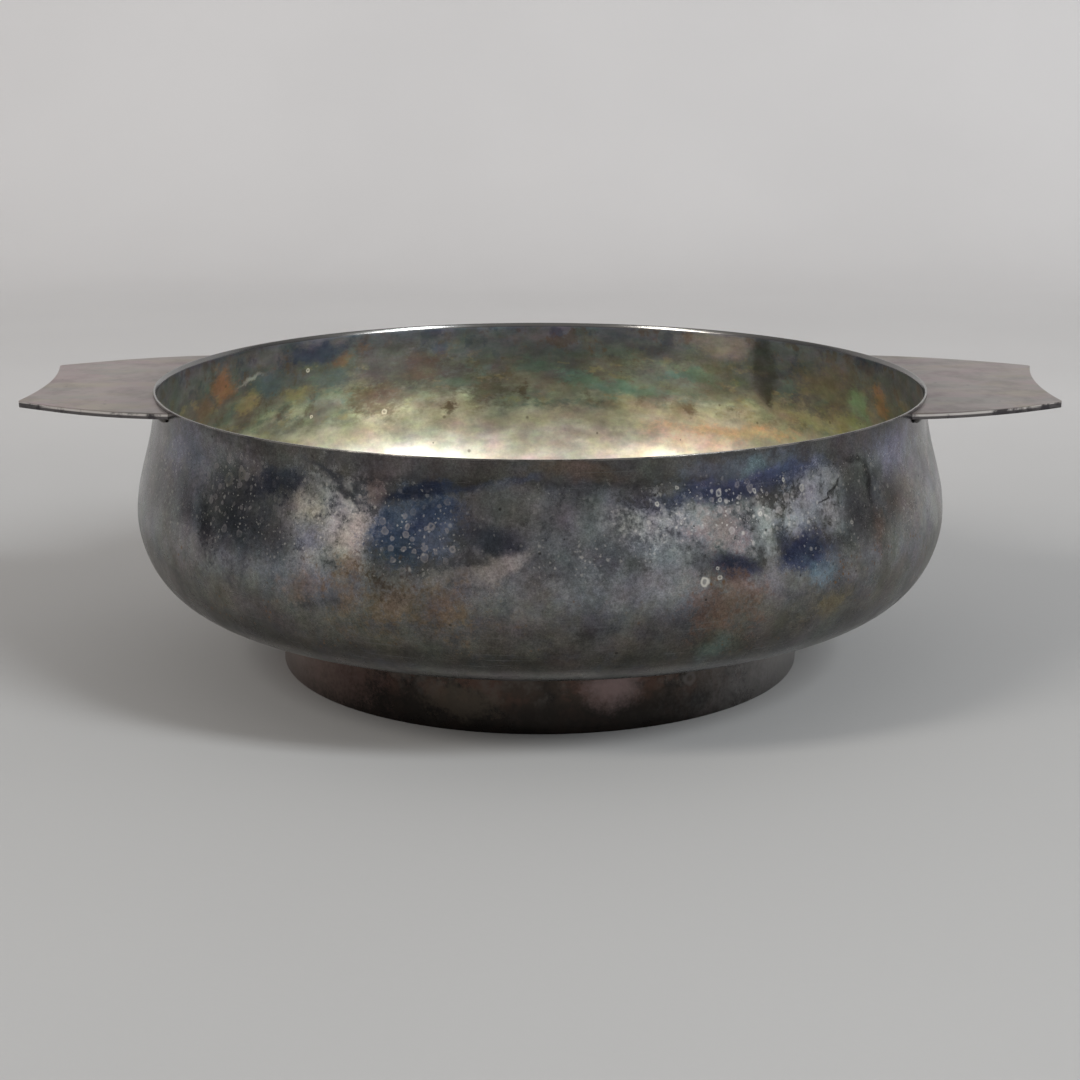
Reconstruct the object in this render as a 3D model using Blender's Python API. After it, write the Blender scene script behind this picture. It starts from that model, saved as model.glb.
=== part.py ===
"""Footed metal bowl with two plate handles.

A squat bowl of spun sheet metal stands on a ring foot. Two flat plate handles are soldered on
opposite sides, just under the rim. All sizes are in metres, +Z is up, the handles lie along X, and
the origin is on the table under the middle of the foot.
"""

import math

import bmesh
import bpy

# Overall sizes
OVERALL_LENGTH = 0.2816
OVERALL_HEIGHT = 0.0795

# Bowl, measured on its outside
RIM_DIAMETER = 0.215
BELLY_DIAMETER = 0.2266
BELLY_HEIGHT = 0.0455
BASE_DIAMETER = 0.1828
BASE_HEIGHT = 0.0215
BASE_SAG = 0.002
SHEET_THICKNESS = 0.001
RIM_ROUNDING = 0.0003

# How far each bend of the bowl's outline reaches along the wall
COLLAR_REACH = 0.0148
SHOULDER_REACH = 0.0121
BELLY_REACH = 0.0064
BASE_REACH = 0.0181

# Ring foot
FOOT_DIAMETER = 0.148
FOOT_THICKNESS = 0.0015
FOOT_ROUNDING = 0.0004

# Plate handles
HANDLE_ROOT_WIDTH = 0.0936
HANDLE_TIP_WIDTH = 0.060
HANDLE_SIDE_BOW = 0.0033
HANDLE_END_HOLLOW = 0.003
HANDLE_THICKNESS = 0.0016
HANDLE_DROP = 0.001
HANDLE_ROUNDING = 0.0005

# Solder seams and the gap that soldered pieces keep
SEAM_LEG = 0.0016
SEAM_OVERRUN = 0.0015
CLEARANCE = 0.0003

# Fineness of the round shapes
TURN_STEPS = 72
BEND_STEPS = 9
BOTTOM_STEPS = 4
ARC_STEPS = 12
SEAM_STEPS = 24
FILLET_STEPS = 3
SHARP_ANGLE = math.radians(35)
MERGE_DISTANCE = 0.00001

RIM_RADIUS = RIM_DIAMETER / 2
BELLY_RADIUS = BELLY_DIAMETER / 2
BASE_RADIUS = BASE_DIAMETER / 2
FOOT_RADIUS = FOOT_DIAMETER / 2
HANDLE_TOP = OVERALL_HEIGHT - HANDLE_DROP
HANDLE_UNDERSIDE = HANDLE_TOP - HANDLE_THICKNESS


def clear_scene():
    for obj in list(bpy.data.objects):
        bpy.data.objects.remove(obj, do_unlink=True)


# Curves that the outlines are drawn with


def bend_point(start, start_pull, end_pull, end, share):
    """Point of a smooth bend that leaves start towards start_pull and reaches end from end_pull."""
    rest = 1 - share
    weights = (rest**3, 3 * rest * rest * share, 3 * rest * share * share, share**3)
    corners = (start, start_pull, end_pull, end)
    return tuple(sum(w * c[axis] for w, c in zip(weights, corners)) for axis in range(2))


def arc_points(start, end, bow, steps):
    """Points of a circular arc from start to end that bulges by bow to the right of its direction."""
    chord = math.dist(start, end)
    along = ((end[0] - start[0]) / chord, (end[1] - start[1]) / chord)
    right = (along[1], -along[0])
    radius = (chord**2 / 4 + bow**2) / (2 * abs(bow))
    half_angle = math.asin(chord / 2 / radius)
    side = math.copysign(1, bow)
    points = []
    for step in range(steps + 1):
        angle = half_angle * (2 * step / steps - 1)
        forward = chord / 2 + radius * math.sin(angle)
        out = side * (radius * math.cos(angle) - radius * math.cos(half_angle))
        points.append(
            (
                start[0] + along[0] * forward + right[0] * out,
                start[1] + along[1] * forward + right[1] * out,
            )
        )
    return points


# The bowl's outside, as radius and height


def underside_height(radius):
    """Height of the bowl's shallow underside at a radius inside the base."""
    return BASE_HEIGHT - BASE_SAG * (1 - (radius / BASE_RADIUS) ** 2)


def shoulder_point(share):
    """Point of the upright collar and the shoulder, from the rim down to the belly."""
    return bend_point(
        (RIM_RADIUS, OVERALL_HEIGHT),
        (RIM_RADIUS, OVERALL_HEIGHT - COLLAR_REACH),
        (BELLY_RADIUS, BELLY_HEIGHT + SHOULDER_REACH),
        (BELLY_RADIUS, BELLY_HEIGHT),
        share,
    )


def turn_point(share):
    """Point of the turn from the belly under to the edge of the base."""
    base_slope = 2 * BASE_SAG / BASE_RADIUS
    return bend_point(
        (BELLY_RADIUS, BELLY_HEIGHT),
        (BELLY_RADIUS, BELLY_HEIGHT - BELLY_REACH),
        (BASE_RADIUS + BASE_REACH, BASE_HEIGHT + BASE_REACH * base_slope),
        (BASE_RADIUS, BASE_HEIGHT),
        share,
    )


def wall_radius(height):
    """Outer radius of the collar or shoulder at a height, found by halving."""
    low, high = 0.0, 1.0
    for _ in range(40):
        middle = (low + high) / 2
        if shoulder_point(middle)[1] > height:
            low = middle
        else:
            high = middle
    return shoulder_point(low)[0]


def seat_radius(low, high):
    """Inner radius of a piece soldered to the wall between two heights, clear of the wall all the way."""
    return max(wall_radius(low), wall_radius(high)) + CLEARANCE


def bowl_outline():
    """Outside of the bowl from the rim down to the axis."""
    points = [shoulder_point(step / BEND_STEPS) for step in range(BEND_STEPS + 1)]
    points += [turn_point(step / BEND_STEPS) for step in range(1, BEND_STEPS + 1)]
    for step in range(1, BOTTOM_STEPS + 1):
        radius = BASE_RADIUS * (1 - step / BOTTOM_STEPS)
        points.append((radius, underside_height(radius)))
    return points


# Making objects


def plain_metal(name, color, roughness):
    material = bpy.data.materials.new(name)
    material.use_nodes = True
    shader = material.node_tree.nodes["Principled BSDF"]
    shader.inputs["Base Color"].default_value = (*color, 1.0)
    shader.inputs["Metallic"].default_value = 1.0
    shader.inputs["Roughness"].default_value = roughness
    return material


def add_object(name, mesh, material, holder):
    obj = bpy.data.objects.new(name, mesh)
    bpy.context.scene.collection.objects.link(obj)
    obj.parent = holder
    if not mesh.materials:
        mesh.materials.append(material)
    return obj


def shade_round(mesh):
    mesh.shade_smooth()
    mesh.set_sharp_from_angle(angle=SHARP_ANGLE)


def profile_mesh(name, points, closed):
    """Mesh of a profile line in the XZ plane, ready to be turned about Z."""
    edges = [(i, i + 1) for i in range(len(points) - 1)]
    if closed:
        edges.append((len(points) - 1, 0))
    mesh = bpy.data.meshes.new(name)
    mesh.from_pydata([(radius, 0.0, height) for radius, height in points], edges, [])
    return mesh


def add_turning(obj):
    screw = obj.modifiers.new("turn", "SCREW")
    screw.steps = TURN_STEPS
    screw.render_steps = TURN_STEPS
    screw.use_merge_vertices = True
    screw.merge_threshold = MERGE_DISTANCE
    screw.use_smooth_shade = True


def add_rounding(obj, width):
    bevel = obj.modifiers.new("rounding", "BEVEL")
    bevel.width = width
    bevel.segments = 2
    bevel.limit_method = "ANGLE"
    bevel.angle_limit = SHARP_ANGLE


# The pieces


def make_bowl_shell(holder):
    """The bowl: its outside line turned about the axis and thickened inwards to a sheet."""
    material = plain_metal("tarnished_silver_plate", (0.17, 0.18, 0.19), 0.32)
    obj = add_object("bowl_shell", profile_mesh("bowl_shell", bowl_outline(), False), material, holder)
    add_turning(obj)
    sheet = obj.modifiers.new("sheet", "SOLIDIFY")
    sheet.thickness = SHEET_THICKNESS
    sheet.offset = -1
    sheet.use_even_offset = True
    add_rounding(obj, RIM_ROUNDING)


def make_foot_ring(holder):
    """The ring foot: an upright band whose top follows the bowl's underside."""
    inner_radius = FOOT_RADIUS - FOOT_THICKNESS
    points = [
        (FOOT_RADIUS, underside_height(FOOT_RADIUS) - CLEARANCE),
        (FOOT_RADIUS, FOOT_ROUNDING),
        (FOOT_RADIUS - FOOT_ROUNDING, 0.0),
        (inner_radius + FOOT_ROUNDING, 0.0),
        (inner_radius, FOOT_ROUNDING),
        (inner_radius, underside_height(inner_radius) - CLEARANCE),
    ]
    material = plain_metal("dark_tarnished_foot", (0.10, 0.085, 0.08), 0.4)
    obj = add_object("foot_ring", profile_mesh("foot_ring", points, True), material, holder)
    add_turning(obj)


def fillet_section(corner):
    """Seam section: one leg outwards and one leg down from a corner, joined by a hollow curve."""
    section = [corner]
    for step in range(FILLET_STEPS + 1):
        angle = math.pi / 2 * step / FILLET_STEPS
        reach = SEAM_LEG * (1 - math.sin(angle))
        depth = SEAM_LEG * (1 - math.cos(angle))
        section.append((corner[0] + reach, corner[1] - depth))
    return section


def make_foot_solder(holder):
    """The seam in the corner between the foot's outside and the bowl's underside."""
    inner_radius = FOOT_RADIUS + CLEARANCE
    corner = (inner_radius, underside_height(inner_radius) - CLEARANCE)
    section = fillet_section(corner)
    material = plain_metal("foot_solder", (0.12, 0.11, 0.11), 0.5)
    obj = add_object("foot_solder", profile_mesh("foot_solder", section, True), material, holder)
    add_turning(obj)


def handle_outline():
    """Plan of the right plate, against the clock from the near end of its root."""
    inner_radius = seat_radius(HANDLE_UNDERSIDE, HANDLE_TOP)
    root_half = HANDLE_ROOT_WIDTH / 2
    root_angle = math.asin(root_half / inner_radius)
    root_near = (inner_radius * math.cos(root_angle), -root_half)
    tip_near = (OVERALL_LENGTH / 2, -HANDLE_TIP_WIDTH / 2)
    tip_far = (tip_near[0], -tip_near[1])
    root_far = (root_near[0], root_half)
    points = arc_points(root_near, tip_near, HANDLE_SIDE_BOW, ARC_STEPS)
    points += arc_points(tip_near, tip_far, -HANDLE_END_HOLLOW, ARC_STEPS)[1:]
    points += arc_points(tip_far, root_far, HANDLE_SIDE_BOW, ARC_STEPS)[1:]
    for step in range(1, SEAM_STEPS):
        angle = root_angle * (1 - 2 * step / SEAM_STEPS)
        points.append((inner_radius * math.cos(angle), inner_radius * math.sin(angle)))
    return points


def handle_mesh():
    """The plate: its plan raised to the thickness of the sheet."""
    plan = bmesh.new()
    corners = [plan.verts.new((x, y, HANDLE_UNDERSIDE)) for x, y in handle_outline()]
    face = plan.faces.new(corners)
    raised = bmesh.ops.extrude_face_region(plan, geom=[face])["geom"]
    lifted = [item for item in raised if isinstance(item, bmesh.types.BMVert)]
    bmesh.ops.translate(plan, verts=lifted, vec=(0.0, 0.0, HANDLE_THICKNESS))
    bmesh.ops.recalc_face_normals(plan, faces=plan.faces)
    mesh = bpy.data.meshes.new("handle_plate")
    plan.to_mesh(mesh)
    plan.free()
    shade_round(mesh)
    return mesh


def handle_solder_mesh():
    """The seam under the plate: a hollow fillet that follows the wall and overruns the plate's sides."""
    top = HANDLE_UNDERSIDE - CLEARANCE
    inner_radius = seat_radius(top - SEAM_LEG, top)
    section = fillet_section((inner_radius, top))
    half_angle = math.asin(HANDLE_ROOT_WIDTH / 2 / inner_radius) + SEAM_OVERRUN / inner_radius
    seam = bmesh.new()
    rings = []
    for step in range(SEAM_STEPS + 1):
        angle = half_angle * (2 * step / SEAM_STEPS - 1)
        rings.append([seam.verts.new((r * math.cos(angle), r * math.sin(angle), z)) for r, z in section])
    for ring, following in zip(rings, rings[1:]):
        for index in range(len(section)):
            beside = (index + 1) % len(section)
            seam.faces.new((ring[index], ring[beside], following[beside], following[index]))
    seam.faces.new(rings[0])
    seam.faces.new(rings[-1])
    bmesh.ops.recalc_face_normals(seam, faces=seam.faces)
    mesh = bpy.data.meshes.new("handle_solder")
    seam.to_mesh(mesh)
    seam.free()
    shade_round(mesh)
    return mesh


def make_handles(holder):
    """Two plates and their seams: the left pair is the right pair turned half a turn."""
    plate_metal = plain_metal("satin_plate", (0.42, 0.40, 0.38), 0.45)
    solder_metal = plain_metal("handle_solder", (0.16, 0.15, 0.14), 0.5)
    plate = handle_mesh()
    solder = handle_solder_mesh()
    for side, turn in (("right", 0.0), ("left", math.pi)):
        obj = add_object(f"{side}_handle", plate, plate_metal, holder)
        obj.rotation_euler.z = turn
        add_rounding(obj, HANDLE_ROUNDING)
        seam = add_object(f"{side}_handle_solder", solder, solder_metal, holder)
        seam.rotation_euler.z = turn


def main():
    clear_scene()
    holder = bpy.data.objects.new("footed_bowl", None)
    bpy.context.scene.collection.objects.link(holder)
    make_bowl_shell(holder)
    make_foot_ring(holder)
    make_foot_solder(holder)
    make_handles(holder)


main()
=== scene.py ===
# %% [markdown]
# # A footed bowl in tarnished silver plate
# The bowl is thin sheet metal that was spun over a former, set on a ring foot and given two flat
# plate handles, all joined with solder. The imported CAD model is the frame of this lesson: every
# piece made here sits where its CAD node sits, and only the looks are new.

# %% Load the frame and keep its box
import math

import bmesh
import bpy
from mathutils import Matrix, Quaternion, Vector, noise


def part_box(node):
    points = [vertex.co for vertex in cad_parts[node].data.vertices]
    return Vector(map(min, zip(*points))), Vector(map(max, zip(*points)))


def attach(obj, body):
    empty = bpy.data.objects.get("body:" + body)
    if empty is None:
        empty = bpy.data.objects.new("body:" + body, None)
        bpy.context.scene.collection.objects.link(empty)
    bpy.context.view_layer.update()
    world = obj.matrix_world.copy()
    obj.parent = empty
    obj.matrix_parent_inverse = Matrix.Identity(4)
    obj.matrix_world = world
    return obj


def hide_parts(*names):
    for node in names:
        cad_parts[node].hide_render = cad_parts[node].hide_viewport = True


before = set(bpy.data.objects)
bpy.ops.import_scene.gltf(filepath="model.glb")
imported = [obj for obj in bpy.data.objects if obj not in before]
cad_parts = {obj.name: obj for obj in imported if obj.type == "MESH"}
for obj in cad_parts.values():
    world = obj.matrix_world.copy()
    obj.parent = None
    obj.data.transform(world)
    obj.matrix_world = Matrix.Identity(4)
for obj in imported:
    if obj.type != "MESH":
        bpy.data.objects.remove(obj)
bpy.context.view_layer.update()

# %% [markdown]
# ## Camera
# The picture was taken from a little above the rim with a rather long lens. The place and tilt
# below were worked out from the ellipses of the rim and the foot, so the bowl fills the frame
# as it does in the picture.

# %% Camera
CAMERA_PLACE = (0.0, -0.5509, 0.1766)
CAMERA_TILT = math.radians(14.68)
CAMERA_LENS = 65.73
SENSOR_WIDTH = 36.0

scene = bpy.context.scene
scene.view_settings.view_transform = "Standard"
camera = bpy.data.objects.new("camera", bpy.data.cameras.new("camera"))
camera.data.lens = CAMERA_LENS
camera.data.sensor_width = SENSOR_WIDTH
camera.location = CAMERA_PLACE
camera.rotation_euler = (math.pi / 2 - CAMERA_TILT, 0.0, 0.0)
scene.collection.objects.link(camera)
scene.camera = camera
print("camera:", CAMERA_LENS, "mm lens, tilted", round(math.degrees(CAMERA_TILT), 2), "degrees down")

# %% [markdown]
# ## Building node trees
# Every finish below is a small node tree, and a tree is easier to read when adding a node, filling
# its inputs and taking one output is a single call. These helpers do only that: `put` adds any node,
# and the others name the few kinds of node that turn up again and again. A node goes into the tree
# that its links come from, so only a node without links has to be told its tree.

# %% Node helpers
def put(kind, inputs=None, out=0, tree=None, **settings):
    """Add a node, fill its inputs with numbers or links, and return one of its outputs."""
    given = (inputs or {}).items()
    links = {key: value for key, value in given if isinstance(value, bpy.types.NodeSocket)}
    tree = tree or next(iter(links.values())).id_data
    node = tree.nodes.new(kind)
    for name, value in settings.items():
        setattr(node, name, value)
    for key, value in given:
        if key in links:
            tree.links.new(value, node.inputs[key])
        else:
            node.inputs[key].default_value = value
    return node.outputs[out]


def sums(operation, first, second=0.0):
    """One step of arithmetic on two numbers."""
    return put("ShaderNodeMath", {0: first, 1: second}, operation=operation)


def vectors(operation, first, second=(0.0, 0.0, 0.0), out=0):
    """One step of arithmetic on two vectors."""
    return put("ShaderNodeVectorMath", {0: first, 1: second}, out, operation=operation)


def ease(value, low, high, from_share=0.0, to_share=1.0):
    """Turn a number between low and high into a smooth share."""
    inputs = {"Value": value, "From Min": low, "From Max": high, "To Min": from_share, "To Max": to_share}
    return put("ShaderNodeMapRange", inputs, interpolation_type="SMOOTHSTEP")


def cloud(spot, size, detail=3.0, roughness=0.55, out="Fac"):
    """Soft random clouds whose patches are about size metres across."""
    inputs = {"Vector": spot, "Scale": 1.0 / size, "Detail": detail, "Roughness": roughness}
    return put("ShaderNodeTexNoise", inputs, out)


def mixed(share, first, second):
    """Blend two colours."""
    inputs = {0: share, 6: as_colour(first), 7: as_colour(second)}
    return put("ShaderNodeMix", inputs, 2, data_type="RGBA")


def as_colour(value):
    """Give a plain red, green, blue triple its alpha; leave a link alone."""
    return value if isinstance(value, bpy.types.NodeSocket) else (*value, 1.0)


def between(share, first, second):
    """Blend two numbers."""
    return put("ShaderNodeMix", {0: share, 2: first, 3: second}, data_type="FLOAT")


def share_of(share, part):
    """A part of a share; the part is a number or another share."""
    return sums("MULTIPLY", share, part)


def scaled(value, share):
    """A colour or a vector made smaller or larger."""
    return put("ShaderNodeVectorMath", {0: value, "Scale": share}, operation="SCALE")


def apart(place):
    """The three numbers of a place."""
    outputs = put("ShaderNodeSeparateXYZ", {0: place}).node.outputs
    return outputs["X"], outputs["Y"], outputs["Z"]


def within(value, low, low_full, high_full, high):
    """A share that is full between two values and fades out below and above them."""
    return share_of(ease(value, low, low_full), ease(value, high, high_full))


def laid(colour, film, share, part):
    """Lay a film over a colour, on a part of a share."""
    return mixed(share_of(share, part), colour, film)


def new_tree(name, kind, inputs, output, output_kind):
    """An empty tree with named inputs and one output."""
    tree = bpy.data.node_groups.new(name, kind)
    for socket_name, socket_kind in inputs:
        tree.interface.new_socket(name=socket_name, in_out="INPUT", socket_type=socket_kind)
    tree.interface.new_socket(name=output, in_out="OUTPUT", socket_type=output_kind)
    return tree, tree.nodes.new("NodeGroupInput").outputs, tree.nodes.new("NodeGroupOutput").inputs[output]


print("node helpers ready")

# %% [markdown]
# ## Studio
# The bowl stands on pale grey paper that runs back and sweeps up into a backdrop. Two tall soft boxes
# stand in front, to the left and right, and lean, so that the bowl throws two wide soft shadows. The
# room before the paper is dim under a grey ceiling, and polished metal shows it: the shoulder of the
# bowl mirrors that dim room, while the collar and the belly mirror the paper.

# %% Paper sweep
PAPER_HALF_WIDTH = 2.1
PAPER_FRONT = -2.2
PAPER_BACK = 1.15
PAPER_HEIGHT = 1.5
PAPER_BEND = 0.35
BEND_STEPS = 16
FLOOR_PAPER = (0.56, 0.558, 0.558)
# painted light: paler paper towards the back and up the backdrop stands in for light falling on the backdrop
PAINTED_LIT_REAR_PAPER = (0.73, 0.72, 0.72)
PAINTED_LIT_BACK_PAPER = (0.86, 0.845, 0.85)
REAR_FADE = (0.05, 0.45)
BACK_FADE = (0.6, PAPER_BACK)
TONE_SIZE = 0.35
TONE_CLOUDS = (0.35, 0.65)
PAPER_TONES = (0.96, 1.0)
PAPER_ROUGHNESS = 0.85
FIBRE_SIZE = 0.002
FIBRE_DEPTH = 0.0005
FIBRE_STRENGTH = 0.08


def paper_sweep():
    """A strip of paper: flat floor, a round bend and an upright back."""
    line = [(PAPER_FRONT, 0.0), (PAPER_BACK - PAPER_BEND, 0.0)]
    for step in range(1, BEND_STEPS + 1):
        turn = math.pi / 2 * step / BEND_STEPS
        depth = PAPER_BACK - PAPER_BEND + PAPER_BEND * math.sin(turn)
        line.append((depth, PAPER_BEND * (1 - math.cos(turn))))
    line.append((PAPER_BACK, PAPER_HEIGHT))
    corners = [(side * PAPER_HALF_WIDTH, y, z) for y, z in line for side in (-1, 1)]
    faces = [(2 * i, 2 * i + 1, 2 * i + 3, 2 * i + 2) for i in range(len(line) - 1)]
    mesh = bpy.data.meshes.new("paper_sweep")
    mesh.from_pydata(corners, [], faces)
    mesh.shade_smooth()
    return mesh


def paper_finish():
    """Matt pale grey paper with a faint fibre and slow changes of tone, painted lighter towards the back and
    up the backdrop as light falling on the backdrop.
    """
    material = bpy.data.materials.new("pale_grey_paper")
    material.use_nodes = True
    tree = material.node_tree
    shader = tree.nodes["Principled BSDF"]
    spot = put("ShaderNodeTexCoord", out="Object", tree=tree)
    depth = apart(spot)[1]
    # painted light: paler towards the back and up the backdrop
    colour = mixed(ease(depth, *REAR_FADE), FLOOR_PAPER, PAINTED_LIT_REAR_PAPER)
    colour = mixed(ease(depth, *BACK_FADE), colour, PAINTED_LIT_BACK_PAPER)
    tone = ease(cloud(spot, TONE_SIZE), *TONE_CLOUDS, *PAPER_TONES)
    tree.links.new(scaled(colour, tone), shader.inputs["Base Color"])
    shader.inputs["Roughness"].default_value = PAPER_ROUGHNESS
    fibre = {"Strength": FIBRE_STRENGTH, "Distance": FIBRE_DEPTH, "Height": cloud(spot, FIBRE_SIZE)}
    tree.links.new(put("ShaderNodeBump", fibre), shader.inputs["Normal"])
    return material


paper = bpy.data.objects.new("paper_sweep", paper_sweep())
paper.data.materials.append(paper_finish())
scene.collection.objects.link(paper)
print("paper:", len(paper.data.polygons), "strips")

# %% Lamps
LAMP_AIM = Vector((0.0, 0.0, 0.04))
LAMP_DISTANCE = 2.2
LAMP_SIDE = math.radians(53.0)
LAMP_RISE = math.radians(37.5)
LAMP_LEAN = math.radians(30.0)
LAMP_WIDTH = 0.36
LAMP_LENGTH = 0.95
LEFT_POWER = 14.3
RIGHT_POWER = 23.8
LEFT_TINT = (1.0, 0.96, 0.90)
RIGHT_TINT = (0.95, 0.985, 1.0)

LAMPS = [
    ("left_lamp", -1, LEFT_POWER, LEFT_TINT),
    ("right_lamp", 1, RIGHT_POWER, RIGHT_TINT),
]
for name, side, power, tint in LAMPS:
    lamp = bpy.data.objects.new(name, bpy.data.lights.new(name, "AREA"))
    lamp.data.shape = "RECTANGLE"
    lamp.data.size = LAMP_WIDTH
    lamp.data.size_y = LAMP_LENGTH
    lamp.data.energy = power
    lamp.data.color = tint
    flat = LAMP_DISTANCE * math.cos(LAMP_RISE)
    rise = LAMP_DISTANCE * math.sin(LAMP_RISE)
    place = Vector((side * flat * math.sin(LAMP_SIDE), -flat * math.cos(LAMP_SIDE), rise))
    lamp.location = place
    facing = (LAMP_AIM - place).to_track_quat("-Z", "Y")
    leaning = Quaternion((0.0, 0.0, 1.0), side * LAMP_LEAN)
    lamp.rotation_euler = (facing @ leaning).to_euler()
    scene.collection.objects.link(lamp)
print("lamps:", LEFT_POWER, "and", RIGHT_POWER, "W")

# %% Dim room under a grey ceiling
ROOM_COLOUR = (0.172, 0.172, 0.177)
CEILING_COLOUR = (0.335, 0.325, 0.315)
CEILING_START = 0.40
CEILING_FULL = 0.65

room = bpy.data.worlds.new("dim_room")
room.use_nodes = True
sky = room.node_tree
way = put("ShaderNodeTexCoord", out="Generated", tree=sky)
above = ease(apart(way)[2], CEILING_START, CEILING_FULL)
sky.links.new(mixed(above, ROOM_COLOUR, CEILING_COLOUR), sky.nodes["Background"].inputs["Color"])
scene.world = room
print("room:", len(sky.nodes), "nodes")

# %% [markdown]
# ## Sizes
# The frame gives the sizes: the shell's box holds the height and the widest ring, the foot's box
# its radius, and a handle's box how far it reaches. The two bends of the wall are smooth curves
# between the rim, the widest ring and the edge of the underside.

# %% Sizes from the frame
shell_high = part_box("bowl_shell")[1]
foot_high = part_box("foot_ring")[1]
plate_low, plate_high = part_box("right_handle")

SHEET = 0.001
RIM_TOP = shell_high.z
RIM_RADIUS = 0.1075
BELLY_RADIUS = shell_high.x
BELLY_HEIGHT = 0.0455
BASE_RADIUS = 0.0914
BASE_HEIGHT = 0.0215
BASE_SAG = 0.002
COLLAR_REACH = 0.0148
SHOULDER_REACH = 0.0121
BELLY_REACH = 0.0064
BASE_REACH = 0.0181
FOOT_RADIUS = foot_high.x
FOOT_SHEET = 0.0015
for title, size in (("rim top", RIM_TOP), ("belly radius", BELLY_RADIUS), ("foot radius", FOOT_RADIUS)):
    print(title, round(size, 4))

# %% The wall's outline
def bend_point(points, share):
    """A point on a smooth bend between the first and last of four points."""
    rest = 1.0 - share
    weights = (rest ** 3, 3 * share * rest ** 2, 3 * share ** 2 * rest, share ** 3)
    return tuple(sum(w * p[axis] for w, p in zip(weights, points)) for axis in (0, 1))


def underside_height(radius):
    """The underside sags a little towards its middle."""
    return BASE_HEIGHT - BASE_SAG * (1.0 - (radius / BASE_RADIUS) ** 2)


SHOULDER_BEND = (
    (RIM_RADIUS, RIM_TOP),
    (RIM_RADIUS, RIM_TOP - COLLAR_REACH),
    (BELLY_RADIUS, BELLY_HEIGHT + SHOULDER_REACH),
    (BELLY_RADIUS, BELLY_HEIGHT),
)
BASE_PULL = BASE_RADIUS + BASE_REACH
TURN_BEND = (
    (BELLY_RADIUS, BELLY_HEIGHT),
    (BELLY_RADIUS, BELLY_HEIGHT - BELLY_REACH),
    (BASE_PULL, BASE_HEIGHT + BASE_REACH * 2 * BASE_SAG / BASE_RADIUS),
    (BASE_RADIUS, BASE_HEIGHT),
)
FLOOR_POINTS = 14
BEND_POINTS = 40
HALVINGS = 40


def wall_outline():
    """Radius and height along the outside, from the middle of the underside up to the rim."""
    radii = [BASE_RADIUS * i / FLOOR_POINTS for i in range(FLOOR_POINTS)]
    line = [(radius, underside_height(radius)) for radius in radii]
    line += [bend_point(TURN_BEND, 1.0 - i / BEND_POINTS) for i in range(BEND_POINTS)]
    line += [bend_point(SHOULDER_BEND, 1.0 - i / BEND_POINTS) for i in range(BEND_POINTS + 1)]
    return line


def wall_radius(height):
    """The outside radius of the collar or shoulder at a height."""
    low, high = 0.0, 1.0
    for _ in range(HALVINGS):
        middle = (low + high) / 2
        if bend_point(SHOULDER_BEND, middle)[1] > height:
            low = middle
        else:
            high = middle
    return bend_point(SHOULDER_BEND, low)[0]


outside = wall_outline()
print("outside outline:", len(outside), "points")

# %% Sheet outline with an eased rim
RIM_POINTS = 5
OUTER_ROUNDING = 0.00015
BEVEL_WIDTH = 0.00055
BEVEL_DROP = 0.0011
BEVEL_SWELL = 0.00003
BEVEL_CLEARANCE = 1.2


def inside_line(line, thickness):
    """The outside line moved inwards by the thickness of the sheet."""
    inside = []
    for i, (radius, height) in enumerate(line):
        before = line[max(i - 1, 0)]
        after = line[min(i + 1, len(line) - 1)]
        run, rise = after[0] - before[0], after[1] - before[1]
        length = math.hypot(run, rise)
        inside.append((max(radius - thickness * rise / length, 0.0), height + thickness * run / length))
    inside[0] = (0.0, line[0][1] + thickness)
    return inside


def sheet_outline(line, thickness):
    """Follow the outside up, over a rim that is filed to a bevel inside, and down the inside."""
    edge, top = line[-1]
    shares = [i / RIM_POINTS for i in range(RIM_POINTS + 1)]
    over = []
    for share in shares:
        turn = share * math.pi / 2
        radius = edge - OUTER_ROUNDING * (1 - math.cos(turn))
        over.append((radius, top - OUTER_ROUNDING * (1 - math.sin(turn))))
    start = edge - thickness + BEVEL_WIDTH
    slope = math.atan2(BEVEL_WIDTH, BEVEL_DROP)
    bevel = []
    for share in shares:
        swell = BEVEL_SWELL * 4 * share * (1 - share)
        radius = start - BEVEL_WIDTH * share - swell * math.cos(slope)
        bevel.append((radius, top - BEVEL_DROP * share + swell * math.sin(slope)))
    outer = [p for p in line if p[1] < top - 2 * OUTER_ROUNDING]
    inner = [p for p in inside_line(line, thickness) if p[1] < top - BEVEL_CLEARANCE * BEVEL_DROP]
    return outer + over + bevel + inner[::-1], len(outer) + RIM_POINTS


bowl_outline, bowl_rim_point = sheet_outline(outside, SHEET)
print("sheet outline:", len(bowl_outline), "points, rim at point", bowl_rim_point)

# %% [markdown]
# ## Stains
# Old silver plate is never one colour. Thin tarnish films go straw, brown, blue and black, cleaning
# leaves a pale dull bloom, and drops dry to little rings. A stain here is an oval on the unrolled
# wall, at an angle and a height, whose edge is broken up by clouds. One node group draws the oval,
# another draws a ring, and the outside, the inside and the foot each have their own list of them.

# %% Node groups for stains and ring marks
OVAL_INPUTS = (
    ("Surface", "NodeSocketVector"),
    ("Centre", "NodeSocketVector"),
    ("Half Size", "NodeSocketVector"),
    ("Tilt", "NodeSocketFloat"),
    ("Softness", "NodeSocketFloat"),
    ("Veil", "NodeSocketFloat"),
    ("Grit", "NodeSocketFloat"),
    ("Strength", "NodeSocketFloat"),
)
DEEPEST = 1.1
RING_PLACE = 0.7
RING_WIDTH = (0.5, 0.05)
RING_MIDDLE = (0.95, 0.3, 0.0, 0.3)


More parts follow.
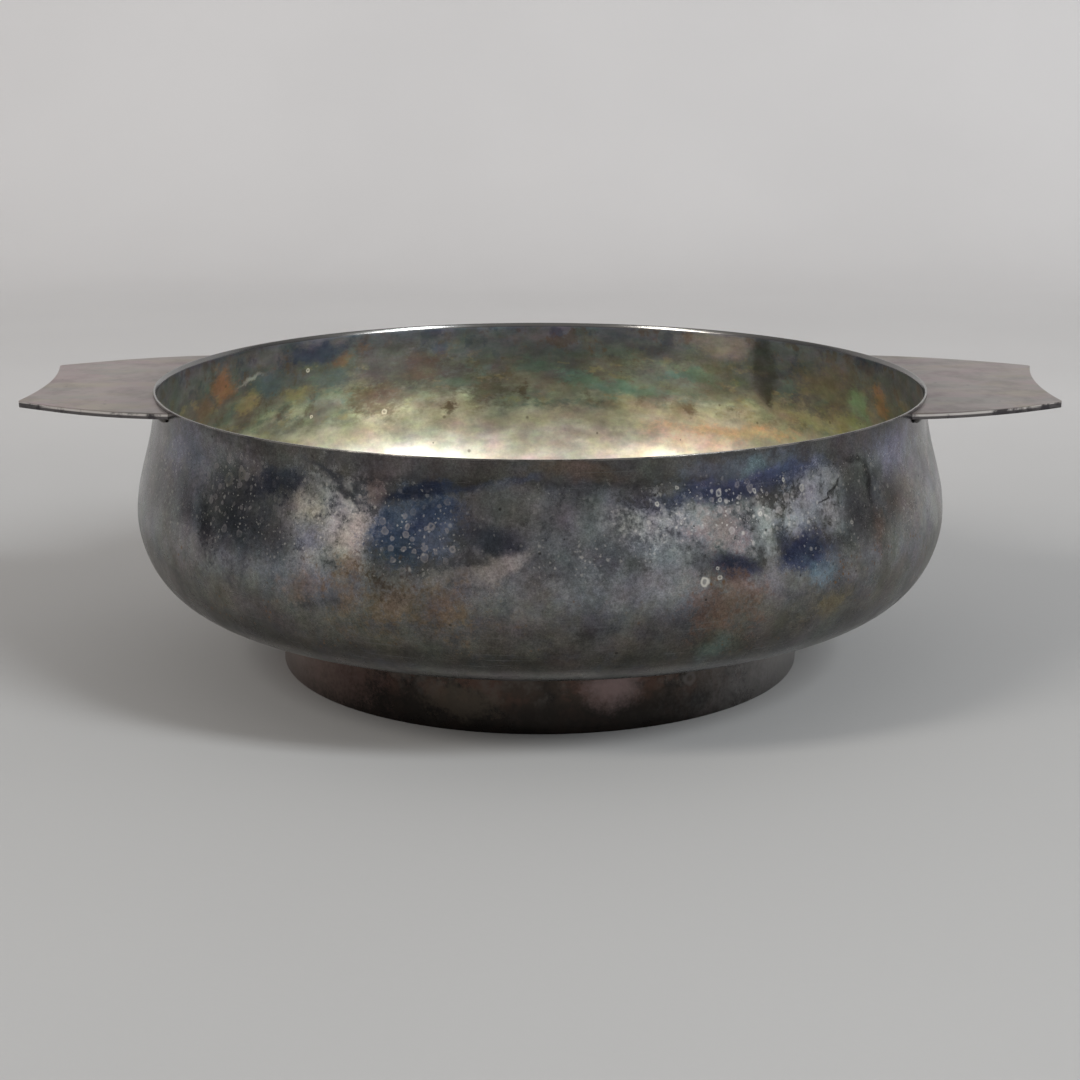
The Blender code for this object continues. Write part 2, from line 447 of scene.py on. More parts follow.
def from_centre(given, tilted):
    """Distance from a stain's centre, in half sizes of the stain."""
    away = vectors("SUBTRACT", given["Surface"], given["Centre"])
    if tilted:
        turn = {"Vector": away, "Angle": sums("MULTIPLY", given["Tilt"], -1.0)}
        away = put("ShaderNodeVectorRotate", turn, rotation_type="Z_AXIS")
    return vectors("LENGTH", vectors("DIVIDE", away, given["Half Size"]), out="Value")


def make_oval_group():
    """A tilted oval whose soft edge is eaten by a veil of clouds."""
    tree, given, result = new_tree("stain_oval", "ShaderNodeTree", OVAL_INPUTS, "Share", "NodeSocketFloat")
    soft = given["Softness"]
    depth = sums("SUBTRACT", sums("ADD", 1.0, soft), from_centre(given, True))
    depth = sums("DIVIDE", depth, share_of(soft, 2.0))
    depth = sums("MINIMUM", depth, DEEPEST)
    depth = sums("ADD", depth, share_of(given["Veil"], given["Grit"]))
    tree.links.new(share_of(ease(depth, 0.0, 1.0), given["Strength"]), result)
    return tree


def make_ring_group():
    """A dried drop: a soft pale rim round a fainter middle."""
    tree, given, result = new_tree("drop_ring", "ShaderNodeTree", OVAL_INPUTS[:3], "Share", "NodeSocketFloat")
    far = from_centre(given, False)
    edge = ease(sums("ABSOLUTE", sums("SUBTRACT", far, RING_PLACE)), *RING_WIDTH)
    tree.links.new(sums("MAXIMUM", edge, ease(far, *RING_MIDDLE)), result)
    return tree


oval_group = make_oval_group()
ring_group = make_ring_group()
print("stain groups:", oval_group.name, ring_group.name)

# %% Laying stains on a finish
MILLIMETRE = 0.001


def unrolled(spot, radius, front):
    """Unroll the wall: distance along it from the front or the back, and height."""
    across, depth, height = apart(spot)
    if front:
        depth = sums("MULTIPLY", depth, -1.0)
    along = sums("MULTIPLY", sums("ARCTAN2", across, depth), radius)
    return put("ShaderNodeCombineXYZ", {"X": along, "Y": height}), height


def pushed(flat, spot, size, reach):
    """Push the unrolled wall about with clouds of a size."""
    drift = vectors("SUBTRACT", cloud(spot, size, 3.0, out="Color"), (0.5, 0.5, 0.5))
    return vectors("ADD", flat, vectors("MULTIPLY", drift, (reach, reach, 0.0)))


def stain_share(wall, veil, radius, oval):
    """How much of a stain lies on each point of the wall."""
    angle, height, half_length, half_height, tilt, soft, grit, strength = oval
    inputs = {
        "Surface": wall,
        "Centre": (math.radians(angle) * radius, height * MILLIMETRE, 0.0),
        "Half Size": (half_length * MILLIMETRE, half_height * MILLIMETRE, 1.0),
        "Tilt": math.radians(tilt),
        "Softness": soft,
        "Veil": veil,
        "Grit": grit,
        "Strength": strength,
    }
    return put("ShaderNodeGroup", inputs, node_tree=oval_group)


def lay_stains(colour, gloss, wall, veil, radius, stains):
    """Lay each stain over the colour and roughness so far."""
    for *oval, tint, rough in stains:
        share = stain_share(wall, veil, radius, oval)
        colour = mixed(share, colour, tint)
        gloss = between(share, gloss, rough)
    return colour, gloss


def lay_rings(colour, gloss, flat, radius, rings, rough):
    """Lay dried drop rings over the colour and roughness so far."""
    for angle, height, size, strength, tint in rings:
        inputs = {
            "Surface": flat,
            "Centre": (math.radians(angle) * radius, height * MILLIMETRE, 0.0),
            "Half Size": (size * MILLIMETRE, size * MILLIMETRE, 1.0),
        }
        share = share_of(put("ShaderNodeGroup", inputs, node_tree=ring_group), strength)
        colour = mixed(share, colour, tint)
        gloss = between(share, gloss, rough)
    return colour, gloss


print("stain helpers ready")

# %% Clouds, specks, drops and polishing lines
SHIFT_WAY = (1.0, 0.7, 0.4)
SLOW_VEIL = 1.8
QUICK_VEIL = 1.6
SPECK_WIDTHS = (0.4, 1.0)
SPECK_EDGE = (1.0, 0.4)
SURE_SPECKS = 0.6
DROP_WIDTHS = (0.10, 0.30)
DROP_RIM = (0.14, 0.01)
DROP_MIDDLE = (0.05, -0.1, 0.0, 0.6)
SURE_DROPS = 0.4
HAIR_STRETCH = (40.0, 2400.0, 1.0)
HAIR_EDGE = (0.62, 0.72)
TONE_EDGE = (0.3, 0.7)
TONE_SHIFT = 0.2
HUE_SIZE = 0.009
GRAIN_CLOUDS = (0.25, 0.75, 0.1, 3.0, 0.8)
HAIR_RELIEF = 0.3


def patches(spot, size, low, high, shift=0.0, detail=6.0, roughness=0.65):
    """Clouds with a clear edge; a shift takes them from another place, so that two layers differ."""
    place = vectors("ADD", spot, tuple(shift * part for part in SHIFT_WAY))
    return ease(cloud(place, size, detail, roughness), low, high)


def make_veil(spot, size, grain):
    """Clouds and grains about zero, for eating the edges of stains."""
    slow = sums("SUBTRACT", cloud(spot, size, 4.0, 0.65), 0.5)
    quick = sums("SUBTRACT", cloud(spot, grain, 3.0, 0.7), 0.5)
    return sums("ADD", share_of(slow, SLOW_VEIL), share_of(quick, QUICK_VEIL))


def scattered(spot, size, unrolled_wall):
    """Cells of a size: distance from each cell's point, and two random numbers for each cell."""
    kind = "2D" if unrolled_wall else "3D"
    inputs = {"Vector": spot, "Scale": 1.0 / size}
    distance = put("ShaderNodeTexVoronoi", inputs, "Distance", voronoi_dimensions=kind)
    chance = put("ShaderNodeSeparateColor", {0: distance.node.outputs["Color"]}, "Red")
    return distance, chance, chance.node.outputs["Green"]


def specks(spot, size, radius, keep, unrolled_wall=False):
    """Small round specks of many sizes, on about the kept share of the cells."""
    distance, chance, width = scattered(spot, size, unrolled_wall)
    reach = share_of(ease(width, 0.0, 1.0, *SPECK_WIDTHS), radius)
    near = ease(sums("DIVIDE", distance, reach), *SPECK_EDGE)
    return share_of(near, ease(chance, 1.0 - keep, 1.0 - keep * SURE_SPECKS))


def drop_marks(flat, size, keep):
    """Rings left by dried drops, of many sizes and strengths."""
    distance, chance, width = scattered(flat, size, True)
    from_rim = sums("SUBTRACT", distance, ease(width, 0.0, 1.0, *DROP_WIDTHS))
    rim = ease(sums("ABSOLUTE", from_rim), *DROP_RIM)
    middle = ease(from_rim, *DROP_MIDDLE)
    kept = ease(chance, 1.0 - keep, 1.0 - keep * SURE_DROPS)
    return share_of(sums("MAXIMUM", rim, middle), kept)


def lay_films(colour, spot, films, band=1.0):
    """Lay patches of films over a colour, within a band of the piece."""
    for size, low, high, shift, strength, film in films:
        patch = share_of(band, patches(spot, size, low, high, shift))
        colour = laid(colour, film, patch, strength)
    return colour


def grained(colour, spot, size, low, high):
    """Darken and lighten a colour with fine grains."""
    grains = patches(spot, size, *GRAIN_CLOUDS)
    return scaled(colour, between(grains, low, high))


def mottled(colour, spot, clouds, tones, hue_spread):
    """Vary the tone of a colour with one kind of clouds, and its hue with another."""
    size, detail, roughness = clouds
    tone = between(patches(spot, size, *TONE_EDGE, TONE_SHIFT, detail, roughness), *tones)
    hue = scaled(cloud(spot, HUE_SIZE, 4.0, out="Color"), hue_spread)
    hue = vectors("ADD", hue, (1.0 - hue_spread / 2,) * 3)
    return vectors("MULTIPLY", scaled(colour, tone), hue)


def polishing_lines(flat, share):
    """Hair scratches that run round the bowl, as a cloth leaves them."""
    stretched = vectors("MULTIPLY", flat, HAIR_STRETCH)
    lines = put("ShaderNodeTexNoise", {"Vector": stretched, "Scale": 1.0, "Detail": 2.0}, "Fac")
    return ease(lines, *HAIR_EDGE, 0.0, share)


def fine_relief(spot, size, lines):
    """Slow unevenness of the skin with the hair lines on it."""
    return sums("ADD", cloud(spot, size, 4.0), share_of(lines, HAIR_RELIEF))


print("speck helpers ready")

# %% Metal helpers
RELIEF_DEPTH = 0.0003


def new_metal(name):
    """An empty metal finish, its shader and the place on the piece that its patterns read."""
    material = bpy.data.materials.new(name)
    material.use_nodes = True
    shader = material.node_tree.nodes["Principled BSDF"]
    shader.inputs["Metallic"].default_value = 1.0
    return material, shader, put("ShaderNodeTexCoord", out="Object", tree=material.node_tree)


def finish_metal(shader, colour, gloss, height, strength):
    """Connect colour, roughness and a fine relief to the shader."""
    relief = put("ShaderNodeBump", {"Strength": strength, "Distance": RELIEF_DEPTH, "Height": height})
    for name, value in (("Base Color", colour), ("Roughness", gloss), ("Normal", relief)):
        shader.id_data.links.new(value, shader.inputs[name])


print("metal helpers ready")

# %% [markdown]
# ## Outside of the bowl
# Blue-black tarnish, half polished away. Where it is clean it mirrors the room; where the bloom lies
# it is pale and dull. The list holds the patches that make this bowl itself: deep blue left of the
# middle, a pale bloom beside it, navy bands on the right, rust low down and drops at the left.

# %% Outside stain list
BLACK_LINE = (0.05, 0.05, 0.05)
# angle from the front, height, half length, half height in degrees and millimetres, then tilt,
# softness of the edge, how far the veil eats it, strength, colour, roughness
OUTSIDE_STAINS = (
    # slow changes under the rest
    (11.0, 60.5, 24.0, 9.0, 0, 0.8, 0.6, 0.65, (0.25, 0.255, 0.268), 0.42),
    (-68.0, 62.0, 18.0, 12.0, 0, 0.8, 0.6, 0.8, (0.10, 0.096, 0.097), 0.22),
    # pale bloom beside the blue patch
    (-27.5, 61.0, 14.0, 10.0, 0, 0.8, 1.2, 0.75, (0.37, 0.36, 0.365), 0.5),
    (-22.8, 59.5, 5.0, 7.5, 0, 0.8, 0.8, 0.6, (0.43, 0.37, 0.335), 0.52),
    (-29.8, 65.0, 3.4, 2.6, 0, 0.9, 0.8, 0.45, (0.50, 0.46, 0.33), 0.5),
    (-29.0, 58.0, 3.0, 2.4, 0, 0.9, 0.7, 0.5, (0.20, 0.235, 0.37), 0.4),
    # dark patches at the left
    (-36.0, 68.5, 9.5, 3.6, 0, 0.5, 0.9, 0.9, (0.055, 0.065, 0.09), 0.22),
    (-26.5, 71.5, 10.0, 0.9, -18, 0.7, 0.5, 0.8, (0.06, 0.065, 0.08), 0.24),
    (-48.2, 54.5, 4.6, 4.4, 0, 0.6, 0.9, 0.9, (0.038, 0.039, 0.043), 0.22),
    (-42.0, 59.2, 16.0, 8.8, 0, 0.7, 1.3, 0.7, (0.06, 0.063, 0.073), 0.25),
    # deep blue patch and the collar above it
    (-15.0, 62.8, 9.6, 8.6, 0, 0.45, 0.9, 0.85, (0.135, 0.19, 0.28), 0.27),
    (-17.5, 58.5, 6.5, 5.0, 0, 0.8, 1.4, 0.7, (0.05, 0.085, 0.16), 0.25),
    (-12.5, 66.0, 4.2, 3.0, 0, 0.8, 1.4, 0.6, (0.05, 0.08, 0.16), 0.25),
    (-11.5, 60.5, 3.0, 3.5, 0, 0.8, 1.0, 0.5, (0.24, 0.27, 0.36), 0.32),
    (-15.0, 71.3, 8.0, 1.8, 8, 0.5, 0.5, 0.85, (0.045, 0.06, 0.11), 0.2),
    (-6.0, 73.6, 11.0, 1.2, 6, 0.6, 0.5, 0.6, (0.08, 0.105, 0.18), 0.22),
    # grey collar at the left
    (-49.0, 74.8, 16.0, 2.6, 0, 0.8, 0.6, 0.75, (0.25, 0.245, 0.255), 0.28),
    (-35.0, 75.2, 6.0, 1.4, 0, 0.8, 0.8, 0.5, (0.17, 0.175, 0.16), 0.3),
    # olive patch, dark wedge and pale streaks left of the middle
    (-4.8, 68.7, 9.9, 5.6, 0, 0.3, 0.5, 0.65, (0.22, 0.216, 0.21), 0.42),
    (-5.8, 59.2, 8.5, 3.2, -8, 0.5, 0.5, 0.85, (0.11, 0.12, 0.145), 0.24),
    (-5.4, 54.4, 8.4, 2.2, 30, 0.45, 0.35, 0.85, (0.40, 0.365, 0.34), 0.5),
    (-10.5, 50.8, 5.0, 1.6, 12, 0.7, 0.8, 0.6, (0.36, 0.33, 0.31), 0.48),
    # rust at the left
    (-20.5, 71.5, 3.4, 2.6, 0, 0.8, 0.7, 0.5, (0.26, 0.17, 0.12), 0.35),
    (-23.2, 52.3, 2.6, 2.4, 0, 0.9, 1.1, 0.4, (0.30, 0.17, 0.09), 0.4),
    (-17.2, 45.0, 13.0, 5.0, -4, 1.0, 1.5, 0.62, (0.21, 0.145, 0.08), 0.4),
    (-18.0, 48.5, 4.5, 2.4, 0, 1.0, 1.5, 0.75, (0.06, 0.045, 0.032), 0.4),
    (-30.2, 46.5, 7.0, 2.2, 0, 0.9, 1.1, 0.55, (0.24, 0.17, 0.12), 0.4),
    # collar in the middle and at the right, with the navy band under it
    (5.5, 76.5, 9.0, 2.4, 0, 0.7, 0.6, 0.6, (0.15, 0.105, 0.075), 0.3),
    (26.0, 75.0, 14.0, 2.4, 0, 0.7, 0.6, 0.7, (0.145, 0.17, 0.22), 0.28),
    (28.8, 74.2, 3.8, 2.0, 25, 0.6, 0.5, 0.65, (0.19, 0.265, 0.295), 0.3),
    (25.8, 70.9, 24.6, 2.4, 3, 0.5, 0.5, 0.85, (0.11, 0.13, 0.24), 0.22),
    # pale and pink patches at the right
    (14.0, 65.4, 5.0, 3.6, 0, 0.9, 1.3, 0.72, (0.41, 0.40, 0.385), 0.55),
    (22.0, 62.0, 6.4, 5.4, 0, 0.8, 1.3, 0.68, (0.24, 0.17, 0.17), 0.42),
    (29.3, 59.5, 1.7, 8.0, 0, 0.9, 0.6, 0.5, (0.30, 0.305, 0.30), 0.5),
    (32.2, 59.0, 2.6, 3.4, 0, 0.7, 0.6, 0.75, (0.08, 0.09, 0.14), 0.25),
    (37.2, 63.4, 8.0, 6.2, 0, 0.7, 1.1, 0.66, (0.38, 0.38, 0.41), 0.5),
    # dark olive patch at the right with black lines
    (46.0, 62.0, 6.5, 11.0, 0, 0.4, 0.6, 0.75, (0.145, 0.146, 0.137), 0.28),
    (48.5, 66.0, 1.3, 6.0, 0, 0.6, 0.4, 0.8, BLACK_LINE, 0.25),
    (46.0, 72.0, 4.0, 0.8, -16, 0.6, 0.4, 0.8, BLACK_LINE, 0.25),
    (49.5, 54.9, 1.8, 3.4, 0, 0.8, 0.8, 0.35, (0.36, 0.23, 0.15), 0.35),
    (39.8, 64.6, 3.6, 0.3, 22, 0.6, 0.3, 0.8, BLACK_LINE, 0.3),
    (41.5, 66.2, 2.2, 0.3, 40, 0.6, 0.3, 0.7, BLACK_LINE, 0.3),
    # lower navy band
    (24.0, 52.2, 6.2, 3.4, 0, 0.5, 0.6, 0.9, (0.055, 0.062, 0.115), 0.22),
    (35.0, 54.2, 8.6, 4.4, 6, 0.5, 0.6, 0.9, (0.06, 0.075, 0.15), 0.22),
    (37.8, 49.0, 3.5, 4.0, 0, 0.9, 0.8, 0.65, (0.20, 0.29, 0.36), 0.3),
    # low wall
    (23.0, 42.0, 6.6, 7.0, 0, 0.9, 1.4, 0.65, (0.19, 0.115, 0.08), 0.38),
    (22.2, 31.7, 4.5, 2.6, 0, 0.9, 0.6, 0.6, (0.11, 0.17, 0.15), 0.3),
    (12.2, 51.5, 8.0, 3.8, 0, 0.9, 1.0, 0.5, (0.36, 0.36, 0.385), 0.45),
    (4.8, 36.8, 2.2, 3.6, 0, 0.8, 0.9, 0.7, (0.05, 0.046, 0.042), 0.35),
    (38.8, 38.0, 6.0, 2.6, 30, 0.9, 0.9, 0.6, (0.22, 0.18, 0.10), 0.35),
    (36.0, 29.5, 16.0, 4.0, 6, 0.8, 0.8, 0.6, (0.12, 0.117, 0.11), 0.28),
    # far sides
    (57.5, 60.0, 8.0, 8.0, 0, 0.9, 1.0, 0.45, (0.29, 0.22, 0.18), 0.32),
    (-57.0, 71.0, 10.0, 5.0, 0, 0.9, 0.6, 0.6, (0.19, 0.195, 0.28), 0.28),
    (57.2, 72.0, 10.0, 5.0, 0, 0.9, 0.6, 0.6, (0.25, 0.26, 0.36), 0.28),
)
PALE_DROP = (0.74, 0.71, 0.64)
PINK_DROP = (0.48, 0.44, 0.43)
BROWN_DROP = (0.30, 0.28, 0.24)
# angle from the front, height and radius in degrees and millimetres, strength, colour
OUTSIDE_RINGS = (
    (20.0, 49.9, 1.3, 0.95, PALE_DROP),
    (22.0, 50.5, 0.55, 0.8, PALE_DROP),
    (21.8, 52.7, 0.45, 0.7, PALE_DROP),
    (14.5, 68.5, 0.55, 0.9, PALE_DROP),
    (17.2, 71.9, 0.5, 0.7, PALE_DROP),
    (22.8, 69.9, 0.9, 0.6, PALE_DROP),
    (22.9, 68.2, 0.6, 0.6, PALE_DROP),
    (28.0, 69.5, 0.6, 0.7, PALE_DROP),
    (32.5, 71.0, 0.5, 0.9, PALE_DROP),
    (28.5, 64.0, 0.5, 0.7, PALE_DROP),
    (35.5, 68.5, 0.9, 0.5, PALE_DROP),
    (43.5, 58.0, 0.6, 0.7, PALE_DROP),
    (-13.3, 63.5, 1.0, 0.55, PINK_DROP),
    (-10.5, 58.7, 0.8, 0.7, PINK_DROP),
    (-42.3, 70.0, 1.5, 0.5, BROWN_DROP),
    (-44.8, 68.0, 1.7, 0.45, BROWN_DROP),
)
# places where drops dried, as ovals without a colour
DROP_PLACES = (
    (-43.5, 65.0, 14.0, 10.0, 0, 0.4, 0.5, 1.0),
    (-14.5, 61.0, 11.0, 9.0, 0, 0.4, 0.5, 1.0),
    (27.0, 66.0, 16.0, 7.0, 0, 0.4, 0.5, 1.0),
)
print("outside:", len(OUTSIDE_STAINS), "stains and", len(OUTSIDE_RINGS), "drop rings")

# %% Outside values
GREY_TARNISH = (0.22, 0.22, 0.22)
BLUE_TARNISH = (0.155, 0.17, 0.20)
OLIVE_TARNISH = (0.185, 0.175, 0.145)
COLLAR_TARNISH = (0.08, 0.073, 0.07)
# painted shade for the low wall and the underside, standing in for the shadowed floor that they mirror, and a
# painted highlight for the lower contour
LOW_WALL_PAINTED_SHADE = (0.112, 0.104, 0.088)
UNDERSIDE_PAINTED_SHADE = (0.05, 0.046, 0.039)
CONTOUR_PAINTED_HIGHLIGHT = (0.17, 0.162, 0.15)
DARK_TARNISH = (0.075, 0.08, 0.09)
WORN_RIM = (0.44, 0.42, 0.39)
DULL_BEVEL = (0.27, 0.265, 0.255)
BLOOM_SPECK = (0.66, 0.63, 0.58)
RUST_SPECK = (0.20, 0.11, 0.05)
PIT = (0.03, 0.028, 0.026)
HAZE = (0.36, 0.365, 0.375)
# size and edge of the patches of a tarnish, a shift, its strength and colour
FIRST_TARNISH = (
    (0.04, 0.4, 0.6, 0.0, 1.0, BLUE_TARNISH),
    (0.014, 0.42, 0.62, 0.3, 0.7, OLIVE_TARNISH),
)
LAST_TARNISH = ((0.006, 0.5, 0.68, 0.6, 0.5, DARK_TARNISH),)
# height in metres where a band starts and where it is full, its strength and colour
TARNISH_AND_PAINTED_LIGHT_BANDS = (
    (0.0705, 0.0745, 0.75, COLLAR_TARNISH),
    # painted shade: the low wall is darkened
    (0.052, 0.034, 0.85, LOW_WALL_PAINTED_SHADE),
    # painted shade: the underside is darkened more
    (0.037, 0.030, 0.75, UNDERSIDE_PAINTED_SHADE),
    # painted highlight: a paler ring along the lower contour
    (0.0285, 0.026, 0.85, CONTOUR_PAINTED_HIGHLIGHT),
)
# heights between which a layer lies: where it starts, is full, is still full and ends
HAZE_BAND = (0.042, 0.052, 0.069, 0.074)
DUST_BAND = (0.044, 0.056, 0.07, 0.077)
RUST_BAND = (0.028, 0.034, 0.048, 0.054)
WORN_START = (RIM_TOP - 0.0005, RIM_TOP - 0.0001)
# size and edge of patches, and a shift
GLOSS_PATCHES = (0.014, 0.4, 0.6)
DUST_PATCHES = (0.02, 0.35, 0.65, 0.9)
RUST_PATCHES = (0.018, 0.5, 0.62, 1.3)
WORN_PATCHES = (0.006, 0.35, 0.55)
# cell size of specks, their radius in cells and the share of cells that have one
FINE_DUST = (0.0012, 0.3, 0.4)
COARSE_DUST = (0.0034, 0.2, 0.5)
RUST_SPECKS = (0.0016, 0.35, 0.5)
PIT_SPECKS = (0.003, 0.2, 0.25)
# cell size of drops and the share of cells that have one
DROP_CELLS = (0.0027, 0.75)
# the haze: its clouds, how far the veil eats them, and the edge and strength it gets from them
HAZE_CLOUDS = (0.02, 4.0, 0.6)
HAZE_VEIL = 0.2
HAZE_EDGE = (0.36, 0.68, 0.1, 0.75)
# roughness of the clean metal, what the low wall adds to it, and roughness of the layers
OUTSIDE_GLOSS = (0.13, 0.22)
LOW_GLOSS = (0.06, 0.044, 0.0, 0.12)
HAZE_GLOSS = 0.42
DUST_GLOSS = 0.5
DROP_GLOSS = 0.42
RING_GLOSS = 0.45
LINE_GLOSS = 0.15
# strength of the layers
WET_DUST = 0.9
DUST_STRENGTH = 0.6
DROP_STRENGTH = 0.55
RUST_STRENGTH = 0.8
PIT_STRENGTH = 0.7
LINE_STRENGTH = 0.25
WORN_STRENGTH = 0.7
OUTSIDE_RELIEF = 0.08
# size of the clouds that push an edge about, and how far
SLOW_PUSH = (0.022, 0.012)
QUICK_PUSH = (0.004, 0.004)
SHAKE = (0.002, 0.0014)
# sizes of the veil's clouds and grains
OUTSIDE_VEIL = (0.005, 0.0011)
# the mottling's clouds, tones and spread of hue, then size and tones of two kinds of grain
OUTSIDE_MOTTLE = ((0.009, 8.0, 0.7), (0.72, 1.32), 0.32)
OUTSIDE_GRAINS = ((0.0011, 0.8, 1.2), (0.0004, 0.75, 1.28))
RELIEF_SIZE = 0.006
print("outside:", len(TARNISH_AND_PAINTED_LIGHT_BANDS), "bands of tarnish under the stains")

# %% Outside finish
def outside_tarnish_and_painted_light(spot, height, veil):
    """The tarnish under the stains: clouds of grey, blue and olive, darker at the collar, with painted shade
    on the low wall and the underside and a painted highlight ring along the lower contour.
    """
    colour = lay_films(GREY_TARNISH, spot, FIRST_TARNISH)
    for start, full, strength, film in TARNISH_AND_PAINTED_LIGHT_BANDS:
        colour = laid(colour, film, ease(height, start, full), strength)
    colour = lay_films(colour, spot, LAST_TARNISH)
    gloss = between(patches(spot, *GLOSS_PATCHES), *OUTSIDE_GLOSS)
    gloss = sums("ADD", gloss, ease(height, *LOW_GLOSS))
    clouds = sums("ADD", cloud(spot, *HAZE_CLOUDS), share_of(veil, HAZE_VEIL))
    haze = share_of(ease(clouds, *HAZE_EDGE), within(height, *HAZE_BAND))
    return mixed(haze, colour, HAZE), between(haze, gloss, HAZE_GLOSS)


def outside_marks(spot, flat, shaken, height, veil, colour, gloss):
    """Dust, rust and pits, drops that dried, and the hair lines of polishing."""
    wet = 0.0
    for oval in DROP_PLACES:
        wet = sums("MAXIMUM", wet, stain_share(flat, veil, BELLY_RADIUS, oval))
    dusty = share_of(within(height, *DUST_BAND), patches(spot, *DUST_PATCHES))
    dusty = sums("MAXIMUM", dusty, share_of(wet, WET_DUST))
    fine = specks(shaken, *FINE_DUST, True)
    coarse = specks(shaken, *COARSE_DUST, True)
    dust = share_of(sums("MAXIMUM", fine, coarse), dusty)
    dust = share_of(dust, DUST_STRENGTH)
    colour = mixed(dust, colour, BLOOM_SPECK)
    gloss = between(dust, gloss, DUST_GLOSS)
    drops = share_of(wet, drop_marks(shaken, *DROP_CELLS))
    drops = share_of(drops, DROP_STRENGTH)
    colour = mixed(drops, colour, PINK_DROP)
    gloss = between(drops, gloss, DROP_GLOSS)
    rust = share_of(within(height, *RUST_BAND), patches(spot, *RUST_PATCHES))
    rust = share_of(rust, specks(shaken, *RUST_SPECKS, True))
    colour = laid(colour, RUST_SPECK, rust, RUST_STRENGTH)
    pits = specks(spot, *PIT_SPECKS)
    colour = laid(colour, PIT, pits, PIT_STRENGTH)
    lines = polishing_lines(flat, LINE_STRENGTH)
    colour = mixed(lines, colour, GREY_TARNISH)
    return colour, sums("ADD", gloss, share_of(lines, LINE_GLOSS)), pits, lines


def outside_finish():
    """Tarnish films, bloom, drop rings, specks and polishing lines on the outside wall."""
    material, shader, spot = new_metal("outside_tarnish_and_painted_light")
    flat, height = unrolled(spot, BELLY_RADIUS, front=True)
    ragged = pushed(pushed(flat, spot, *SLOW_PUSH), spot, *QUICK_PUSH)
    veil = make_veil(spot, *OUTSIDE_VEIL)
    colour, gloss = outside_tarnish_and_painted_light(spot, height, veil)
    colour, gloss = lay_stains(colour, gloss, ragged, veil, BELLY_RADIUS, OUTSIDE_STAINS)
    colour = mottled(colour, spot, *OUTSIDE_MOTTLE)
    for grains in OUTSIDE_GRAINS:
        colour = grained(colour, spot, *grains)
    shaken = pushed(flat, spot, *SHAKE)
    colour, gloss, pits, lines = outside_marks(spot, flat, shaken, height, veil, colour, gloss)
    colour, gloss = lay_rings(colour, gloss, shaken, BELLY_RADIUS, OUTSIDE_RINGS, RING_GLOSS)
    worn = share_of(ease(height, *WORN_START), patches(spot, *WORN_PATCHES))
    colour = laid(colour, WORN_RIM, worn, WORN_STRENGTH)
    relief = sums("SUBTRACT", fine_relief(spot, RELIEF_SIZE, lines), pits)
    finish_metal(shader, colour, gloss, relief, OUTSIDE_RELIEF)
    return material


outside_metal = outside_finish()
print("outside finish:", len(outside_metal.node_tree.nodes), "nodes")

# %% [markdown]
# ## Inside of the bowl
# The inside kept thin films, as plate does that is rinsed more often than rubbed. The colour of a
# film follows its thickness, from cream over straw and green to grey, and here the films are thicker
# towards the rim. So the height, pushed about by clouds, picks the colour from a ramp.

